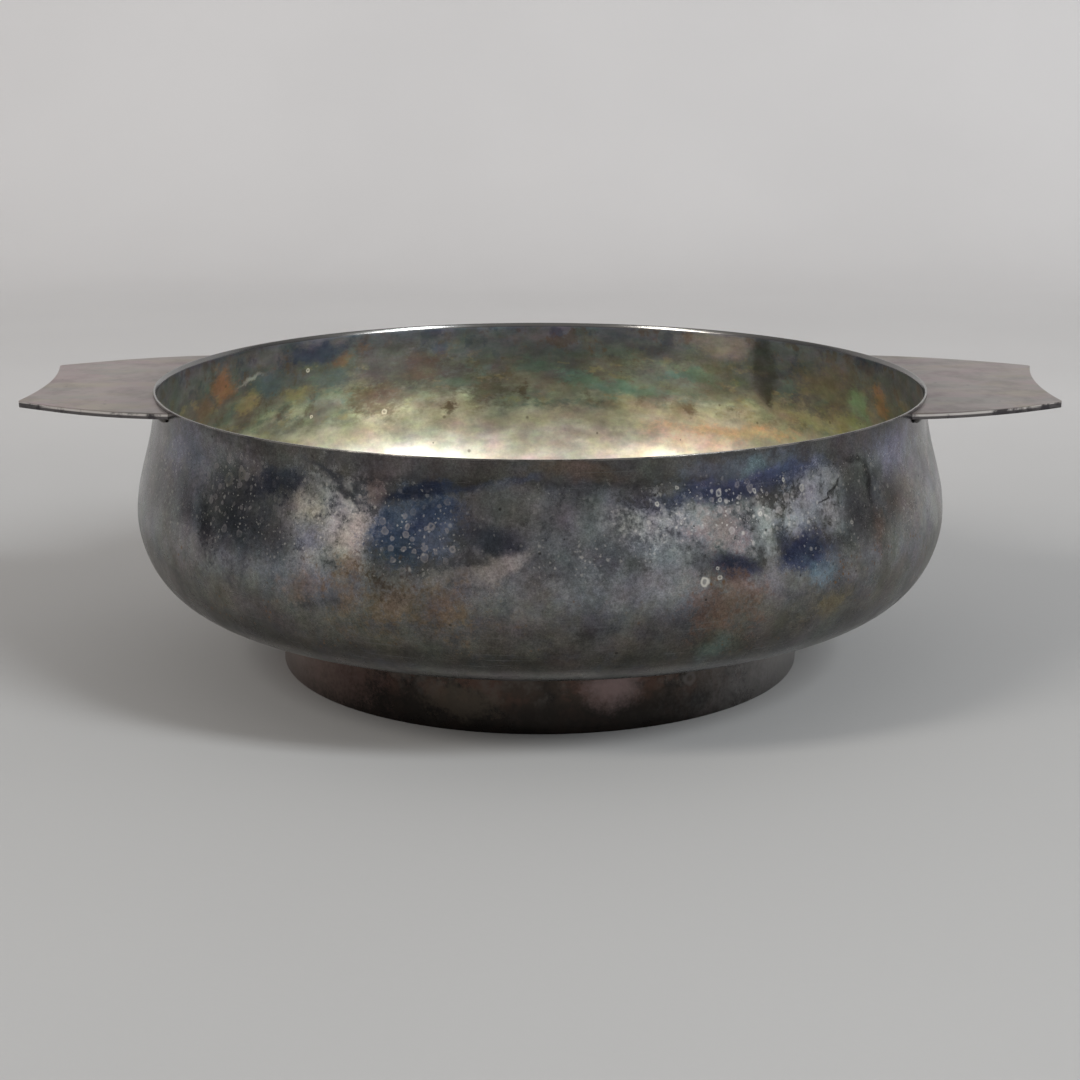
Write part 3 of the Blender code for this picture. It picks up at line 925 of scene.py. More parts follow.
# %% Inside stain list
# angle from the back, then as for the outside
INSIDE_STAINS = (
    # slow changes under the rest
    (33.2, 75.2, 11.0, 4.0, 0, 0.7, 0.5, 0.9, (0.36, 0.34, 0.32), 0.48),
    (62.0, 57.0, 18.0, 10.0, 0, 0.9, 0.7, 0.6, (0.32, 0.32, 0.26), 0.5),
    (60.0, 69.0, 10.0, 6.0, 0, 0.9, 0.7, 0.6, (0.21, 0.20, 0.19), 0.5),
    # dark patch left of the middle with rust specks
    (-25.0, 64.0, 16.0, 9.0, 0, 0.7, 0.8, 0.8, (0.10, 0.095, 0.095), 0.5),
    (-29.5, 69.0, 9.0, 6.5, 0, 0.6, 0.8, 0.65, (0.14, 0.14, 0.15), 0.5),
    (-36.2, 70.0, 2.4, 2.4, 0, 0.8, 1.0, 0.6, (0.28, 0.16, 0.10), 0.5),
    (-33.5, 73.8, 2.6, 2.0, 0, 0.8, 1.0, 0.55, (0.24, 0.15, 0.11), 0.5),
    # navy, teal and gold at the left
    (-41.5, 74.8, 11.0, 2.9, 0, 0.5, 0.8, 0.8, (0.075, 0.10, 0.17), 0.48),
    (-53.0, 67.0, 10.5, 4.6, 0, 0.5, 0.8, 0.8, (0.12, 0.18, 0.22), 0.48),
    (-39.2, 63.5, 6.2, 4.3, 0, 0.5, 0.9, 0.75, (0.13, 0.18, 0.20), 0.5),
    (-57.5, 62.2, 5.7, 3.4, 0, 0.6, 0.9, 0.75, (0.41, 0.37, 0.20), 0.5),
    (-45.0, 60.2, 5.5, 2.7, 0, 0.6, 0.9, 0.7, (0.35, 0.32, 0.18), 0.5),
    # brown, blue and teal about the middle
    (-31.3, 56.2, 8.9, 3.9, 0, 0.6, 0.9, 0.7, (0.18, 0.14, 0.11), 0.5),
    (-22.2, 65.1, 5.7, 3.9, 0, 0.6, 1.0, 0.6, (0.15, 0.12, 0.095), 0.5),
    (-18.5, 73.0, 3.7, 2.5, 0, 0.6, 0.8, 0.6, (0.12, 0.16, 0.24), 0.5),
    (-10.0, 57.4, 7.0, 4.8, 0, 0.7, 1.2, 0.65, (0.11, 0.10, 0.07), 0.5),
    (-15.2, 60.6, 7.4, 1.6, 0, 0.6, 0.9, 0.65, (0.15, 0.22, 0.19), 0.5),
    (-1.5, 62.2, 9.1, 1.6, 0, 0.6, 0.9, 0.65, (0.14, 0.22, 0.19), 0.5),
    # turquoise streaks and olive at the right
    (22.0, 61.0, 16.0, 7.0, 0, 0.8, 0.9, 0.6, (0.25, 0.32, 0.28), 0.5),
    (11.2, 59.3, 12.7, 2.6, 0, 0.6, 1.0, 0.7, (0.18, 0.32, 0.27), 0.5),
    (18.5, 56.8, 11.1, 1.8, 0, 0.5, 1.0, 0.65, (0.18, 0.30, 0.26), 0.5),
    (28.0, 63.0, 8.0, 1.6, 0, 0.5, 1.0, 0.7, (0.14, 0.28, 0.26), 0.5),
    (33.2, 64.9, 9.0, 5.7, 0, 0.7, 0.9, 0.55, (0.16, 0.18, 0.14), 0.5),
    (22.5, 71.6, 5.6, 2.7, 0, 0.6, 0.8, 0.65, (0.08, 0.085, 0.12), 0.48),
    # low wall
    (20.0, 50.0, 20.0, 3.0, 0, 0.9, 0.7, 0.5, (0.56, 0.53, 0.38), 0.5),
    (-21.2, 49.9, 14.0, 5.2, 0, 0.9, 0.7, 0.55, (0.33, 0.32, 0.25), 0.5),
    (44.5, 53.0, 15.0, 4.6, 0, 0.9, 0.7, 0.5, (0.50, 0.48, 0.33), 0.5),
    # a thin pale streak that is a painted highlight, and orange at the far left
    (-58.0, 70.0, 5.0, 0.6, 4, 0.8, 0.5, 0.65, (0.64, 0.70, 0.74), 0.45),
    (-65.2, 69.4, 4.9, 4.4, 0, 0.6, 0.8, 0.8, (0.38, 0.22, 0.13), 0.5),
    (-69.8, 62.0, 5.0, 5.0, 0, 0.6, 0.8, 0.7, (0.26, 0.18, 0.13), 0.5),
    # dark smudge at the right
    (42.0, 67.6, 5.0, 10.8, 0, 0.3, 0.5, 0.78, (0.07, 0.075, 0.075), 0.45),
    (42.5, 58.5, 1.6, 2.2, 0, 0.6, 0.8, 0.8, (0.08, 0.08, 0.07), 0.45),
    # pink and orange films near the bottom, partly painted highlight where the lamps' reflections fall
    (27.0, 42.0, 14.0, 3.0, 0, 0.8, 0.5, 0.85, (0.99, 0.77, 0.62), 0.5),
    (36.0, 46.0, 20.0, 1.8, 2, 0.8, 0.7, 0.7, (0.86, 0.60, 0.38), 0.5),
    # brown spots
    (-16.5, 51.1, 2.2, 1.5, 0, 0.7, 1.0, 0.8, (0.095, 0.065, 0.04), 0.5),
    (-3.2, 55.1, 2.4, 2.0, 0, 0.7, 1.0, 0.75, (0.095, 0.07, 0.05), 0.5),
    (25.8, 52.5, 2.2, 1.9, 0, 0.7, 1.0, 0.7, (0.15, 0.11, 0.07), 0.5),
    # olive, green and orange at the far right
    (56.0, 66.8, 12.0, 5.4, 0, 0.7, 0.9, 0.55, (0.24, 0.22, 0.14), 0.5),
    (52.0, 52.5, 8.5, 2.1, 0, 0.7, 0.9, 0.6, (0.52, 0.55, 0.30), 0.5),
    (59.3, 56.6, 8.2, 3.0, 0, 0.7, 0.9, 0.6, (0.45, 0.48, 0.24), 0.5),
    (63.8, 62.4, 4.5, 4.6, 0, 0.5, 0.9, 0.7, (0.27, 0.46, 0.30), 0.5),
    (71.2, 66.0, 4.9, 5.1, 0, 0.6, 0.9, 0.7, (0.41, 0.24, 0.12), 0.5),
)
INSIDE_RINGS = (
    (-42.0, 52.1, 0.7, 0.9, (0.90, 0.90, 0.82)),
    (-27.8, 50.7, 0.9, 0.7, (0.90, 0.88, 0.78)),
    (-44.0, 68.3, 0.7, 0.9, (0.75, 0.78, 0.74)),
)
print("inside:", len(INSIDE_STAINS), "stains and", len(INSIDE_RINGS), "specks")

# %% Inside values
# height in millimetres where a film is usual, and its colour
FILMS = (
    (34.0, (0.80, 0.735, 0.60)),
    (40.0, (0.79, 0.73, 0.60)),
    (44.0, (0.69, 0.655, 0.53)),
    (47.0, (0.605, 0.60, 0.48)),
    (50.0, (0.485, 0.515, 0.405)),
    (54.0, (0.275, 0.312, 0.262)),
    (58.0, (0.24, 0.252, 0.217)),
    (62.0, (0.183, 0.188, 0.166)),
    (66.0, (0.15, 0.162, 0.162)),
    (69.0, (0.145, 0.17, 0.182)),
    (74.0, (0.165, 0.185, 0.212)),
    (79.0, (0.215, 0.23, 0.262)),
)
BROWN_FILM = (0.15, 0.125, 0.09)
BLUE_FILM = (0.085, 0.105, 0.15)
RUST_FILM = (0.165, 0.115, 0.085)
PALE_FILM = (0.19, 0.175, 0.165)
TURQUOISE_FILM = (0.15, 0.23, 0.215)
STRAW_FILM = (0.36, 0.33, 0.19)
GREY_FLOOR = (0.62, 0.58, 0.49)
BROWN_FLOOR = (0.50, 0.43, 0.32)
PINK_FLOOR = (0.84, 0.72, 0.62)
# size and edge of the patches of a film, a shift, its strength and colour
DRAWN_FILMS = (
    (0.012, 0.54, 0.62, 0.5, 0.6, TURQUOISE_FILM),
    (0.010, 0.55, 0.63, 1.1, 0.5, STRAW_FILM),
)
ROUND_FILMS = ((0.009, 0.55, 0.64, 1.7, 0.55, BROWN_FILM),)
UPPER_FILMS = (
    (0.008, 0.54, 0.62, 2.1, 0.6, BLUE_FILM),
    (0.008, 0.54, 0.62, 2.7, 0.6, RUST_FILM),
    (0.008, 0.54, 0.62, 3.3, 0.6, PALE_FILM),
)
FLOOR_FILMS = (
    (0.045, 0.48, 0.66, 4.1, 0.42, GREY_FLOOR),
    (0.024, 0.48, 0.66, 4.9, 0.42, BROWN_FLOOR),
    (0.035, 0.48, 0.66, 5.6, 0.42, PINK_FLOOR),
)
# heights of the bands that these films keep to, and of the filed bevel
WALL_BAND = (0.046, 0.052, 0.066, 0.074)
UPPER_START = (0.064, 0.071)
FLOOR_START = (0.033, 0.025)
BEVEL_START = (RIM_TOP - 0.0014, RIM_TOP - 0.0009)
# how clouds move the films up and down, and how patches are drawn out along the wall
FILM_CLOUDS = (0.018, 5.0, 0.58)
FILM_WANDER = 0.036
DRAWN_OUT = (1.0, 1.0, 2.0)
# the rest as for the outside
INSIDE_GLOSS_PATCHES = (0.014, 0.42, 0.62)
INSIDE_GLOSS = (0.44, 0.54)
INSIDE_PITS = (0.004, 0.2, 0.35)
INSIDE_PUSH = (0.022, 0.014)
INSIDE_SHAKE = (0.002, 0.0012)
INSIDE_VEIL = (0.007, 0.0016)
INSIDE_MOTTLE = ((0.008, 6.0, 0.6), (0.84, 1.18), 0.45)
INSIDE_GRAIN = (0.0014, 0.92, 1.09)
INSIDE_PIT_STRENGTH = 0.6
BEVEL_STRENGTH = 0.9
BEVEL_GLOSS = 0.15
INSIDE_RELIEF = 0.10
print("inside:", len(FILMS), "films by height")

# %% Inside finish
def film_colours(level):
    """Pick the colour of a film from a ramp by its level."""
    low, high = FILMS[0][0] * MILLIMETRE, FILMS[-1][0] * MILLIMETRE
    share = put("ShaderNodeMapRange", {"Value": level, "From Min": low, "From Max": high})
    picked = put("ShaderNodeValToRGB", {"Fac": share})
    stops = picked.node.color_ramp.elements
    stops.remove(stops[1])
    for i, (height, colour) in enumerate(FILMS):
        place = (height - FILMS[0][0]) / (FILMS[-1][0] - FILMS[0][0])
        stop = stops[0] if i == 0 else stops.new(place)
        stop.position = place
        stop.color = (*colour, 1.0)
    return picked


def inside_films(spot, streak, height):
    """Films by height, with patches of other films on the wall, under the rim and on the floor."""
    clouds = sums("SUBTRACT", cloud(streak, *FILM_CLOUDS), 0.5)
    colour = film_colours(sums("ADD", height, share_of(clouds, FILM_WANDER)))
    wall = within(height, *WALL_BAND)
    colour = lay_films(colour, streak, DRAWN_FILMS, wall)
    colour = lay_films(colour, spot, ROUND_FILMS, wall)
    colour = lay_films(colour, spot, UPPER_FILMS, ease(height, *UPPER_START))
    return lay_films(colour, spot, FLOOR_FILMS, ease(height, *FLOOR_START))


def inside_finish():
    """Films over silver that is nearly clean at the bottom, with painted highlights among the stains."""
    material, shader, spot = new_metal("inside_films")
    flat, height = unrolled(spot, BELLY_RADIUS, front=False)
    ragged = pushed(pushed(flat, spot, *INSIDE_PUSH), spot, *QUICK_PUSH)
    streak = vectors("MULTIPLY", spot, DRAWN_OUT)
    veil = make_veil(streak, *INSIDE_VEIL)
    colour = inside_films(spot, streak, height)
    gloss = between(patches(streak, *INSIDE_GLOSS_PATCHES), *INSIDE_GLOSS)
    colour, gloss = lay_stains(colour, gloss, ragged, veil, BELLY_RADIUS, INSIDE_STAINS)
    colour = mottled(colour, streak, *INSIDE_MOTTLE)
    colour = grained(colour, spot, *INSIDE_GRAIN)
    shaken = pushed(flat, spot, *INSIDE_SHAKE)
    colour, gloss = lay_rings(colour, gloss, shaken, BELLY_RADIUS, INSIDE_RINGS, RING_GLOSS)
    colour = laid(colour, BROWN_FILM, specks(spot, *INSIDE_PITS), INSIDE_PIT_STRENGTH)
    bevel = share_of(ease(height, *BEVEL_START), BEVEL_STRENGTH)
    colour = mixed(bevel, colour, DULL_BEVEL)
    gloss = between(bevel, gloss, BEVEL_GLOSS)
    relief = fine_relief(spot, RELIEF_SIZE, polishing_lines(flat, LINE_STRENGTH))
    finish_metal(shader, colour, gloss, relief, INSIDE_RELIEF)
    return material


inside_metal = inside_finish()
print("inside finish:", len(inside_metal.node_tree.nodes), "nodes")

# %% [markdown]
# ## Foot, handles and solder finishes
# The foot is brown to black, like metal that was hardly ever polished. The handles are pale and satin,
# like metal that hands have rubbed. Solder is dull and dark.

# %% Foot finish
# stains and rings as for the outside of the bowl
FOOT_STAINS = (
    (-49.0, 9.0, 17.0, 6.0, 0, 0.6, 0.9, 0.7, (0.11, 0.065, 0.058), 0.3),
    (14.8, 11.6, 5.6, 4.0, 0, 0.9, 0.4, 0.85, (0.29, 0.212, 0.206), 0.45),
    (34.2, 5.0, 3.4, 2.0, 0, 0.5, 0.6, 0.8, (0.03, 0.028, 0.028), 0.3),
    (-16.0, 8.0, 9.0, 4.0, 0, 0.6, 1.0, 0.6, (0.11, 0.09, 0.07), 0.35),
    # painted reflection: paler patches at both ends of the foot, where it mirrors the floor beside it at a
    # grazing angle
    (-76.0, 10.0, 30.0, 16.0, 0, 1.0, 0.2, 0.8, (0.42, 0.32, 0.285), 0.3),
    (73.0, 10.0, 33.0, 16.0, 0, 1.0, 0.2, 0.8, (0.42, 0.40, 0.39), 0.3),
)
FOOT_RINGS = (
    (31.8, 11.5, 2.0, 0.5, (0.20, 0.185, 0.175)),
    (57.0, 12.0, 1.0, 0.5, (0.30, 0.25, 0.22)),
)
BLACK_FOOT = (0.03, 0.027, 0.025)
BROWN_FOOT = (0.07, 0.054, 0.045)
RUBBED_FOOT = (0.12, 0.108, 0.098)
RED_FOOT = (0.11, 0.066, 0.052)
# painted shade for the top of the foot, under the belly
PAINTED_SEAM_SHADE = (0.016, 0.015, 0.014)
# as for the bowl: patches, bands, pushes and strengths
FOOT_SLOW = (0.016, 0.42, 0.6, 0.8)
FOOT_FILMS = (
    (*FOOT_SLOW, 1.0, BROWN_FOOT),
    (0.007, 0.46, 0.6, 1.4, 0.7, RED_FOOT),
    (0.005, 0.48, 0.66, 0.0, 0.5, RUBBED_FOOT),
)
FOOT_UPPER = (0.005, 0.012, 0.15, 1.0)
FOOT_GLOSS = (0.26, 0.38)
FOOT_VEIL = (0.004, 0.0011)
FOOT_SLOW_PUSH = (0.022, 0.004)
FOOT_QUICK_PUSH = (0.004, 0.0014)
FOOT_SHAKE = (0.002, 0.0012)
SEAM_SHADE_START = (0.0180, 0.0196)
SEAM_SHADE_STRENGTH = 0.85
FOOT_LINES = 0.2
FOOT_RELIEF_SIZE = 0.005
FOOT_RELIEF = 0.12


def foot_finish():
    """Brown-black tarnish with reddish and mauve patches, a paler painted reflection at both ends and painted
    shade along the top, under the belly.
    """
    material, shader, spot = new_metal("foot_tarnish_and_painted_light")
    flat, height = unrolled(spot, FOOT_RADIUS, front=True)
    ragged = pushed(pushed(flat, spot, *FOOT_SLOW_PUSH), spot, *FOOT_QUICK_PUSH)
    veil = make_veil(spot, *FOOT_VEIL)
    colour = lay_films(BLACK_FOOT, spot, FOOT_FILMS, ease(height, *FOOT_UPPER))
    gloss = between(patches(spot, *FOOT_SLOW), *FOOT_GLOSS)
    colour, gloss = lay_stains(colour, gloss, ragged, veil, FOOT_RADIUS, FOOT_STAINS)
    shaken = pushed(flat, spot, *FOOT_SHAKE)
    colour, gloss = lay_rings(colour, gloss, shaken, FOOT_RADIUS, FOOT_RINGS, RING_GLOSS)
    # painted shade: the top of the foot, under the belly, is darkened
    colour = laid(colour, PAINTED_SEAM_SHADE, ease(height, *SEAM_SHADE_START), SEAM_SHADE_STRENGTH)
    relief = fine_relief(spot, FOOT_RELIEF_SIZE, polishing_lines(flat, FOOT_LINES))
    finish_metal(shader, colour, gloss, relief, FOOT_RELIEF)
    return material


foot_metal = foot_finish()
print("foot finish:", len(foot_metal.node_tree.nodes), "nodes")

# %% Handle finish
PLATE_TOP = plate_high.z
SATIN_SILVER = (0.45, 0.395, 0.372)
MAUVE_FILM = (0.45, 0.345, 0.35)
YELLOW_FILM = (0.46, 0.41, 0.315)
GREEN_FILM = (0.35, 0.345, 0.315)
DULL_FILM = (0.30, 0.27, 0.262)
# a painted highlight for the top of the edge, and a dark tarnish that also paints the side faces as shade
PAINTED_EDGE_HIGHLIGHT = (0.88, 0.83, 0.79)
TARNISH_AND_EDGE_SHADE = (0.07, 0.065, 0.07)
# size and edge of the patches of a film, a shift, its strength and colour
HANDLE_FILMS = (
    (0.016, 0.42, 0.6, 0.0, 0.8, MAUVE_FILM),
    (0.014, 0.48, 0.64, 0.5, 0.7, YELLOW_FILM),
    (0.014, 0.5, 0.64, 1.0, 0.6, GREEN_FILM),
)
DULL_PATCHES = (0.009, 0.42, 0.68)
DULL_STRENGTH = 0.35
EDGE_HIGHLIGHT_PATCHES = (0.007, 0.36, 0.52, 0.4)
HANDLE_GLOSS = (0.34, 0.42)
EDGE_GLOSS = 0.26
EDGE_GLOSS_STRENGTH = 0.8
EDGE_STRENGTH = 0.9
HANDLE_PIT_STRENGTH = 0.5
PLATE_HAIR_RELIEF = 0.5
FILM_STRETCH = (0.6, 1.3, 1.0)
PLATE_HAIRS = (60.0, 2200.0, 60.0)
HANDLE_PITS = (0.004, 0.2, 0.25)
HANDLE_RELIEF = 0.10
# depths under the top where the painted edge highlight starts and is full, and where the painted shade on the
# side faces starts and is full
EDGE_DEPTHS = (0.00018, 0.00032)
SIDE_SHADE_DEPTHS = (0.0007, 0.0010)
TIP_SHADE_DEPTHS = (0.0004, 0.0006)
TIP_START = (0.128, 0.136)
ROOT_TO_TIP = (0.100, 0.125)
LEFT_TO_RIGHT = (-0.05, 0.05)
ROOT_TONE = 0.78
TIP_TONE = 1.07
RIGHT_TONE = 0.86


def handle_finish():
    """Pale satin silver with thin films, hair scratches and dark specks; along the top of the edge a painted
    highlight, partly wear, shows in patches, and the side faces below it are painted dark as shade and
    tarnish.
    """
    material, shader, spot = new_metal("handle_satin")
    across, _, height = apart(spot)
    reach = sums("ABSOLUTE", across)
    depth = sums("SUBTRACT", PLATE_TOP, height)
    drawn = vectors("MULTIPLY", spot, FILM_STRETCH)
    dull = patches(spot, *DULL_PATCHES)
    colour = lay_films(SATIN_SILVER, drawn, HANDLE_FILMS)
    colour = laid(colour, DULL_FILM, dull, DULL_STRENGTH)
    tone = ease(reach, *ROOT_TO_TIP, ROOT_TONE, TIP_TONE)
    tone = share_of(tone, ease(across, *LEFT_TO_RIGHT, 1.0, RIGHT_TONE))
    colour = scaled(colour, tone)
    pits = specks(spot, *HANDLE_PITS)
    colour = laid(colour, TARNISH_AND_EDGE_SHADE, pits, HANDLE_PIT_STRENGTH)
    edge = ease(depth, *EDGE_DEPTHS)
    gloss = between(dull, *HANDLE_GLOSS)
    gloss = between(share_of(edge, EDGE_GLOSS_STRENGTH), gloss, EDGE_GLOSS)
    # painted highlight along the top of the edge, partly wear, broken by patches of dark tarnish
    rubbed = mixed(patches(spot, *EDGE_HIGHLIGHT_PATCHES), TARNISH_AND_EDGE_SHADE, PAINTED_EDGE_HIGHLIGHT)
    colour = laid(colour, rubbed, edge, EDGE_STRENGTH)
    # painted shade: the side faces and the edge at the tip are darkened
    tip = share_of(ease(reach, *TIP_START), ease(depth, *TIP_SHADE_DEPTHS))
    dark = sums("MAXIMUM", ease(depth, *SIDE_SHADE_DEPTHS), tip)
    colour = laid(colour, TARNISH_AND_EDGE_SHADE, dark, EDGE_STRENGTH)
    stretched = vectors("MULTIPLY", spot, PLATE_HAIRS)
    hairs = put("ShaderNodeTexNoise", {"Vector": stretched, "Scale": 1.0, "Detail": 2.0}, "Fac")
    relief = sums("SUBTRACT", share_of(hairs, PLATE_HAIR_RELIEF), pits)
    finish_metal(shader, colour, gloss, relief, HANDLE_RELIEF)
    return material


handle_metal = handle_finish()
print("handle finish:", len(handle_metal.node_tree.nodes), "nodes")

# %% Solder finish
DARK_SOLDER = (0.10, 0.095, 0.09)
PALE_SOLDER = (0.24, 0.22, 0.20)
SOLDER_PATCHES = (0.4, 0.62)
SOLDER_PATCH_SIZE = 0.006
SOLDER_GRAIN = 0.0012
SOLDER_GLOSS = (0.4, 0.55)
SOLDER_RELIEF = 0.3


def solder_finish():
    """Dull dark grey solder with a grainy skin."""
    material, shader, spot = new_metal("dark_solder")
    slow = ease(cloud(spot, SOLDER_PATCH_SIZE, 4.0), *SOLDER_PATCHES)
    colour = mixed(slow, DARK_SOLDER, PALE_SOLDER)
    gloss = between(slow, *SOLDER_GLOSS)
    finish_metal(shader, colour, gloss, cloud(spot, SOLDER_GRAIN, 4.0), SOLDER_RELIEF)
    return material


solder_metal = solder_finish()
print("solder finish:", len(solder_metal.node_tree.nodes), "nodes")

# %% [markdown]
# ## Turning the bowl and the foot
# Spinning metal makes a shape that follows one rule: an outline carried round an axis. A Geometry
# Nodes tree does the same: a grid is bent round so that its rows follow the outline's points and its
# columns go round the axis. Slow clouds then push the wall in and out by about a tenth of a
# millimetre, because hand-held sheet is never quite true and its mirror shows that.

# %% Steps that both shape trees use
def either_way(share):
    """Turn a share from 0 to 1 into a number from -1 to 1."""
    return share_of(sums("SUBTRACT", share, 0.5), 2.0)


def random_push(seed, size, depth, detail, roughness):
    """Random pushes in patches of a size, from minus to plus the depth."""
    inputs = {
        "Vector": put("GeometryNodeInputPosition", tree=seed.id_data),
        "W": seed,
        "Scale": sums("DIVIDE", 1.0, size),
        "Detail": detail,
        "Roughness": roughness,
    }
    clouds = put("ShaderNodeTexNoise", inputs, "Fac", noise_dimensions="4D")
    return share_of(either_way(clouds), depth)


def smooth_solid(shape, metal):
    """Shade a shape smoothly and give it a metal."""
    smooth = put("GeometryNodeSetShadeSmooth", {"Geometry": shape})
    solid = put("GeometryNodeRealizeInstances", {"Geometry": smooth})
    return put("GeometryNodeSetMaterial", {"Geometry": solid, "Material": metal})


print("shape helpers ready")

# %% The turning tree
TURNING_INPUTS = (
    ("Geometry", "NodeSocketGeometry"),
    ("Outline Points", "NodeSocketInt"),
    ("Turn Steps", "NodeSocketInt"),
    ("Rim Share", "NodeSocketFloat"),
    ("Wave Depth", "NodeSocketFloat"),
    ("Wave Size", "NodeSocketFloat"),
    ("Seed", "NodeSocketFloat"),
    ("Outside Metal", "NodeSocketMaterial"),
    ("Inside Metal", "NodeSocketMaterial"),
)
WELD_DISTANCE = 1e-6
WAVE_DETAIL = (1.5, 0.4)


def make_turning_tree():
    """Bend a grid round the axis so that it follows the outline."""
    tree, given, result = new_tree(
        "turning", "GeometryNodeTree", TURNING_INPUTS, "Geometry", "NodeSocketGeometry"
    )
    columns = sums("ADD", given["Turn Steps"], 1.0)
    size = {"Size X": 1.0, "Size Y": 1.0, "Vertices X": given["Outline Points"], "Vertices Y": columns}
    grid = put("GeometryNodeMeshGrid", size, "Mesh")
    along, around, _ = apart(put("GeometryNodeInputPosition", tree=tree))
    share = sums("ADD", along, 0.5)
    last = sums("SUBTRACT", given["Outline Points"], 1.0)
    row = sums("ROUND", sums("MULTIPLY", share, last))
    angle = sums("MULTIPLY", sums("ADD", around, 0.5), 2.0 * math.pi)
    marked = put(
        "GeometryNodeStoreNamedAttribute",
        {"Geometry": grid, "Name": "outline_share", "Value": share},
        data_type="FLOAT",
        domain="POINT",
    )
    point = put(
        "GeometryNodeSampleIndex",
        {"Geometry": given["Geometry"], "Value": put("GeometryNodeInputPosition", tree=tree), "Index": row},
        data_type="FLOAT_VECTOR",
        domain="POINT",
    )
    turned = put("ShaderNodeVectorRotate", {"Vector": point, "Angle": angle}, rotation_type="Z_AXIS")
    shaped = put("GeometryNodeSetPosition", {"Geometry": marked, "Position": turned})
    outward = vectors("MULTIPLY", put("GeometryNodeInputPosition", tree=tree), (1.0, 1.0, 0.0))
    waves = random_push(given["Seed"], given["Wave Size"], given["Wave Depth"], *WAVE_DETAIL)
    push = scaled(outward, sums("DIVIDE", waves, BELLY_RADIUS))
    waved = put("GeometryNodeSetPosition", {"Geometry": shaped, "Offset": push})
    closed = put("GeometryNodeMergeByDistance", {"Geometry": waved, "Distance": WELD_DISTANCE})
    coated = smooth_solid(closed, given["Outside Metal"])
    label = {"Name": "outline_share"}
    mark = put("GeometryNodeInputNamedAttribute", label, tree=tree, data_type="FLOAT")
    inner = put("FunctionNodeCompare", {0: mark, 1: given["Rim Share"]}, operation="GREATER_THAN")
    inside = {"Geometry": coated, "Selection": inner, "Material": given["Inside Metal"]}
    tree.links.new(put("GeometryNodeSetMaterial", inside), result)
    return tree


turning_tree = make_turning_tree()
print("turning tree:", len(turning_tree.nodes), "nodes")

# %% From a tree to a plain mesh
CUBIC_CENTIMETRES = 1e6


def made_by_tree(name, start, tree, values):
    """Run a tree on a start mesh or curve and keep the result as a plain mesh with outward faces."""
    seed = bpy.data.objects.new(name + "_start", start)
    scene.collection.objects.link(seed)
    modifier = seed.modifiers.new("tree", "NODES")
    modifier.node_group = tree
    for socket in tree.interface.items_tree:
        if socket.in_out == "INPUT" and socket.name in values:
            modifier[socket.identifier] = values[socket.name]
    graph = bpy.context.evaluated_depsgraph_get()
    mesh = bpy.data.meshes.new_from_object(seed.evaluated_get(graph), depsgraph=graph)
    seed.modifiers.remove(modifier)
    bpy.data.objects.remove(seed)
    mesh.name = name
    drop_empty_slots(mesh)
    face_outward(mesh)
    piece = bpy.data.objects.new(name, mesh)
    scene.collection.objects.link(piece)
    return piece


def drop_empty_slots(mesh):
    """Keep only the material slots that faces use."""
    slots = [face.material_index for face in mesh.polygons]
    used = sorted(set(slots))
    metals = [mesh.materials[slot] for slot in used]
    mesh.materials.clear()
    for metal in metals:
        mesh.materials.append(metal)
    mesh.polygons.foreach_set("material_index", [used.index(slot) for slot in slots])


def face_outward(mesh):
    """Turn every face of a closed mesh outward."""
    shell = bmesh.new()
    shell.from_mesh(mesh)
    bmesh.ops.recalc_face_normals(shell, faces=shell.faces)
    shell.to_mesh(mesh)
    shell.free()


def report_piece(piece):
    """Print the size of a piece and whether its mesh is closed."""
    check = bmesh.new()
    check.from_mesh(piece.data)
    open_edges = sum(1 for edge in check.edges if len(edge.link_faces) != 2)
    triangles = sum(len(face.verts) - 2 for face in check.faces)
    volume = check.calc_volume(signed=True) * CUBIC_CENTIMETRES
    check.free()
    print(piece.name, "has", triangles, "triangles,", open_edges, "open edges,", round(volume, 2), "cubic cm")


print("tree runner ready")

# %% Bowl
BOWL_STEPS = 360
# depth, size and seed of the waves in the sheet
BOWL_WAVES = (0.00014, 0.05, 3.0)


def turned(name, line, steps, rim_share, waves, outside, inside):
    """A piece turned from an outline; the inside starts at a share of the outline."""
    depth, size, seed = waves
    start = bpy.data.meshes.new(name + "_outline")
    start.from_pydata([(radius, 0.0, height) for radius, height in line], [], [])
    values = {
        "Outline Points": len(line),
        "Turn Steps": steps,
        "Rim Share": rim_share,
        "Wave Depth": depth,
        "Wave Size": size,
        "Seed": seed,
        "Outside Metal": outside,
        "Inside Metal": inside,
    }
    return made_by_tree(name, start, turning_tree, values)


bowl_rim_share = bowl_rim_point / (len(bowl_outline) - 1)
bowl = turned("bowl", bowl_outline, BOWL_STEPS, bowl_rim_share, BOWL_WAVES, outside_metal, inside_metal)
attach(bowl, "root")
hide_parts("bowl_shell")
report_piece(bowl)

# %% Ring foot
FOOT_TUCK = 0.0004
FOOT_EDGE = 0.0004
FOOT_SIDE_POINTS = 10
FOOT_EDGE_POINTS = 4
FOOT_STEPS = 240
FOOT_WAVES = (0.0001, 0.04, 8.0)
NO_INSIDE = 2.0


